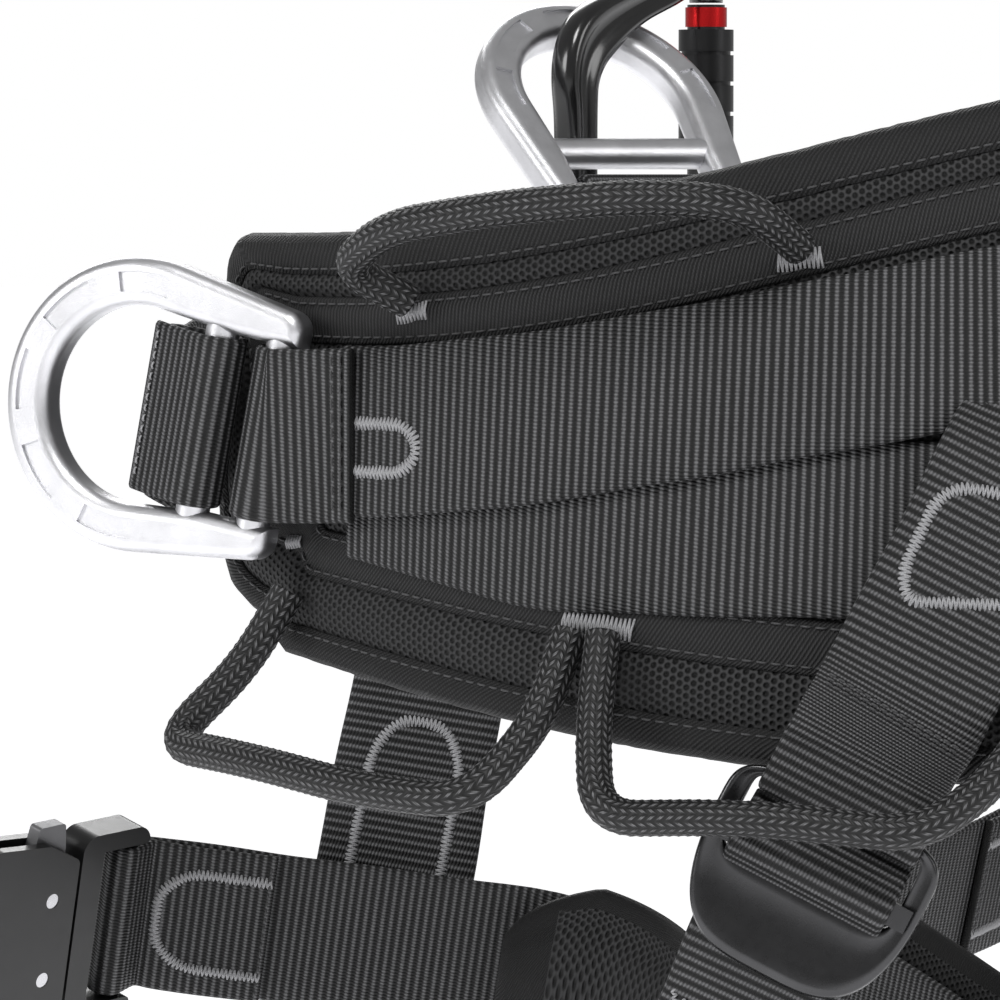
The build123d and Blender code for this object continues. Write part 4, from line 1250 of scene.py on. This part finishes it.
def leg_pad_panel(side, mirror, rows, at, body):
    """Air-mesh panel on each broad face of the cushion, tucked in at its edge."""
    count, around = rows.shape[:2]
    first, last = 5, count - 5
    for face, (begin, stop) in (("thigh", (4, around // 2 - 3)), ("outer", (around // 2 + 4, around - 3))):
        turn = range(begin, stop)
        width = len(turn) - 1
        rise = np.array([1.3 * min(1.0, 4.0 * min(k, width - k) / width) - 0.2 for k in range(width + 1)])
        taper = np.array([min(1.0, min(k - first, last - 1 - k) / 3.0) for k in range(first, last)])
        centre = rows[first:last].mean(axis=1)
        base = rows[first:last][:, list(turn)]
        out = base - centre[:, None, :]
        out /= np.linalg.norm(out, axis=2)[:, :, None]
        top = base + out * (rise[None, :, None] * taper[:, None, None])
        low = base - out * 0.8
        skin = np.concatenate((top, low[:, ::-1]), axis=1)
        v_of = np.concatenate((np.arange(width + 1) * 2.2, np.arange(width + 2)[::-1] * 2.2))
        obj = grid_object(f"{side}_leg_{face}_mesh", skin, at[first:last], v_of, mirror=mirror)
        face_outwards(obj)
        finish_piece(obj, "spacer_mesh", body)


# ---------------------------------------------------------------- front belt, front ring and carabiner

FRONT_BELT_LEFT = ((207.0, -69.0, 3.0), (184.0, -112.0, 7.0), (118.0, -152.0, 24.0), (14.0, -164.0, 24.0),
                   (-72.0, -160.2, 24.0))
FRONT_BELT_RIGHT = ((-207.0, -69.0, 3.0), (-201.0, -104.0, 14.0), (-194.5, -125.0, 22.0))
WAIST_SLACK = ((-189.0, -132.0, 23.0), (-195.5, -122.0, 21.0))
WAIST_BUCKLE_ENDS = ((-92.0, -160.0, 24.0), (-170.0, -141.5, 24.0))


def waist_buckle_plane():
    """Buckle frame: X from the female half to the male half, Z away from the wearer."""
    start, end = (np.array(p) for p in WAIST_BUCKLE_ENDS)
    along = (start - end) / np.linalg.norm(start - end)
    outward = np.array((along[1], -along[0], 0.0))
    return Plane(start - along * MALE_BAR, along, -outward if outward[1] > 0 else outward)


def front_belts():
    plane = waist_buckle_plane()
    stops = [(np.array(p), DOWN) for p in FRONT_BELT_LEFT] + [(plane.at(MALE_BAR + 9.0, 0, 1.4), DOWN)]
    stops += round_buckle_bar(plane, MALE_BAR, 1.0, DOWN) + [(plane.at(MALE_BAR + 10.0, 0, -1.4), DOWN)]
    belt = Strap(stops, 0.47, most=60.0)
    obj = webbing("front_belt_webbing", belt, "waist_belt")
    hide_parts("left_front_belt")

    belt = Strap([(np.array(p), DOWN) for p in FRONT_BELT_RIGHT], 0.47)
    obj = webbing("right_front_belt_webbing", belt, "waist_belt")
    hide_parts("right_front_belt")
    obj = webbing("waist_buckle_end_webbing", strap_end(plane, LOOP_REACH + 2.0), "waist_buckle")
    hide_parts("waist_buckle_strap_end")
    stops = [(plane.at(-55.0, 0, 1.4), DOWN), (plane.at(-66.0, 0, 1.0), DOWN)]
    slack = Strap(stops + [(np.array(p), DOWN) for p in WAIST_SLACK], 0.47)
    obj = webbing("waist_slack_webbing", slack, "waist_belt")
    tuple(plane.x)
    tuple(plane.at(-80.0) * MM)
    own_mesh(obj)


def front_ring_loop():
    """Webbing from the front belt round the front ring's rear bar and back."""
    crown = np.array((0.0, -math.sin(FRONT_LEAN), math.cos(FRONT_LEAN)))
    bar = np.array(FRONT_BAR) - crown * BAR_SPACING
    across = np.array((1.0, 0.0, 0.0))
    foot = bar + DOWN * 44.0
    stops = [(foot + np.array((0, 1.6, 0)), across), (bar + np.array((0.0, 2.4, -22.0)), across)]
    turns = (-20, 25, 70, 115, 160, 205)
    back = np.array((0.0, 1.0, 0.0))
    stops += [(p, across) for p in round_bar(bar, back, -DOWN, RING_WRAP, turns)]
    stops += [(bar + np.array((0.0, -0.6, -22.0)), across), (foot + np.array((0, -1.2, 0)), across)]
    loop = Strap(stops, 0.48)
    obj = webbing("front_ring_webbing", loop, "waist_belt")
    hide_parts("front_ring_webbing_loop")


CARABINER_TOP = 131.0
CARABINER_FOOT = -103.6
CARABINER_SPINE = np.array((5.5, -203.5, 0.0))
CARABINER_GATE = np.array((-51.0, -223.0, 0.0))
BEAM = ((1.0, 0.35), (0.9, 0.85), (0.55, 1.0), (0.32, 0.72), (0.0, 0.62), (-0.32, 0.72), (-0.55, 1.0),
        (-0.9, 0.85), (-1.0, 0.35))
BEAM_DEPTH = 5.6
BEAM_HALF_THICK = 4.7


def carabiner_frame():
    """I-beam body: ribbed spine, wide top arch and basket, swept in the gate's plane."""
    wide = np.linalg.norm(CARABINER_GATE - CARABINER_SPINE)
    across = (CARABINER_GATE - CARABINER_SPINE) / wide
    plane = Plane(CARABINER_SPINE - DOWN * CARABINER_TOP, across, (across[1], -across[0], 0.0))
    foot = CARABINER_FOOT
    route = ((wide, -10.0), (wide, 1.0), (wide * 0.72, -5.0), (wide * 0.33, -13.0), (0.0, -27.0),
             (0.0, foot + 14.0), (wide * 0.45, foot), (wide, foot + 10.0), (wide, -79.0))
    line, at = resample(rounded([plane.at(x, y) for x, y in route], 0.45, 40.0, 14), 1.2)
    facing = np.broadcast_to(plane.z, line.shape)
    _, side, normal = frames_along(line, facing)
    total = at[-1]
    corner = plane.at(0.0, -14.0)
    bend = int(np.argmin(np.linalg.norm(line - corner, axis=1)))
    horn_side = 1.0 if np.dot(normal[bend], plane.at(20.0, -40.0) - line[bend]) > 0 else -1.0
    loop = list(BEAM) + [(-d, -h) for d, h in BEAM]
    rows = []
    for point, s, n, a in zip(line, side, normal, at):
        f = min(a, total - a)
        groove = min(1.0, max(0.0, (f - 16.0) / 14.0))
        horn = math.exp(-((a - at[bend]) / 15.0) ** 2)
        point = point - n * HORN_OUT * horn * horn_side
        deep = 1.0 + HORN_DEEP * horn
        row = []
        for depth, half in loop:
            plain = math.copysign(math.sqrt(max(0.0, 1.0 - min(1.0, depth * depth))) * 0.95 + 0.05, half)
            thickness = plain + (half - plain) * groove
            row.append(point + n * depth * deep * BEAM_DEPTH + s * thickness * BEAM_HALF_THICK)
        rows.append(row)
    obj = grid_object("carabiner_frame", np.array(rows), at, np.arange(len(loop) + 1) * 2.0)
    face_outwards(obj)
    finish_piece(obj, "carabiner_alloy", "carabiner")
    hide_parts("carabiner_body")


# ---------------------------------------------------------------- stage

CAMERA_AT = Vector((1140.8, 1718.5, 72.3))
LOOK_AT = Vector((141.7, -11.9, -14.9))
LENS = 275.0
FLOOR_DROP = 0.22
AMBIENT = 0.34
BACKDROP = 1.0
FLOOR_GLOW = 0.72
FLOOR_HALF = 30.0
LIGHTS_LOOK_AT = Vector((0.1, 0.0, 0.0))

# Name, place and size in metres, and power in watts of each soft light
LIGHTS = (("key_softbox", (1.1, 1.3, 2.1), 1.0, 40.0), ("side_softbox", (2.3, -0.3, 0.7), 0.9, 17.0),
          ("back_softbox", (-1.5, 1.9, 0.9), 1.1, 15.0), ("front_softbox", (-0.6, -2.2, 1.2), 1.3, 22.0))


def area_light(name, at, size, power):
    data = bpy.data.lights.new(name, "AREA")
    data.shape = "DISK"
    data.size = size
    data.energy = power
    light = bpy.data.objects.new(name, data)
    light.location = at
    light.rotation_mode = "QUATERNION"
    light.rotation_quaternion = (LIGHTS_LOOK_AT - Vector(at)).to_track_quat("-Z", "Y")
    bpy.context.scene.collection.objects.link(light)


def view_camera():
    data = bpy.data.cameras.new("camera")
    data.lens = LENS
    data.sensor_width = 36.0
    data.clip_start, data.clip_end = 0.1, 50.0
    camera = bpy.data.objects.new("camera", data)
    camera.location = CAMERA_AT * MM
    camera.rotation_mode = "QUATERNION"
    camera.rotation_quaternion = (LOOK_AT - CAMERA_AT).to_track_quat("-Z", "Y")
    bpy.context.scene.collection.objects.link(camera)
    bpy.context.scene.camera = camera


def pale_floor():
    depth = cad_low.z - FLOOR_DROP
    mesh = bpy.data.meshes.new("floor")
    turns = ((-1, -1), (1, -1), (1, 1), (-1, 1))
    mesh.from_pydata([(FLOOR_HALF * x, FLOOR_HALF * y, depth) for x, y in turns], [], [(0, 1, 2, 3)])
    floor = bpy.data.objects.new("floor", mesh)
    bpy.context.scene.collection.objects.link(floor)
    look = Look("floor_white", roughness=0.85, specular=0.1)
    look.set("Emission Color", (1.0, 1.0, 1.0, 1.0))
    look.set("Emission Strength", FLOOR_GLOW)
    look.colour(look.ramp(look.noise(0.002, 2.0), ((0.0, 0.86), (1.0, 0.9))))
    mesh.materials.append(look.material)


def studio():
    """Even white world, dimmer as a light than as the backdrop, and four soft lights."""
    world = bpy.data.worlds.new("studio")
    world.use_nodes = True
    tree = world.node_tree
    background = tree.nodes["Background"]
    background.inputs["Color"].default_value = (1.0, 1.0, 1.0, 1.0)
    ray = tree.nodes.new("ShaderNodeLightPath")
    seen = tree.nodes.new("ShaderNodeMapRange")
    seen.inputs["To Min"].default_value = AMBIENT
    seen.inputs["To Max"].default_value = BACKDROP
    tree.links.new(ray.outputs["Is Camera Ray"], seen.inputs["Value"])
    tree.links.new(seen.outputs[0], background.inputs["Strength"])
    bpy.context.scene.world = world
    bpy.context.scene.view_settings.view_transform = "Standard"

    for light in LIGHTS:
        area_light(*light)


# ---------------------------------------------------------------- assembly

view_camera()
pale_floor()
studio()
finish_cad_nodes()
waist_pad()
belt_webbing()
for side, mirror in SIDES:
    ring_loops(side, mirror)
gear_loops()
bar_tacks()
for make in (rear_lifter, leg_loop):
    for side, mirror in SIDES:
        make(side, mirror)
front_belts()
front_ring_loop()
carabiner_frame()
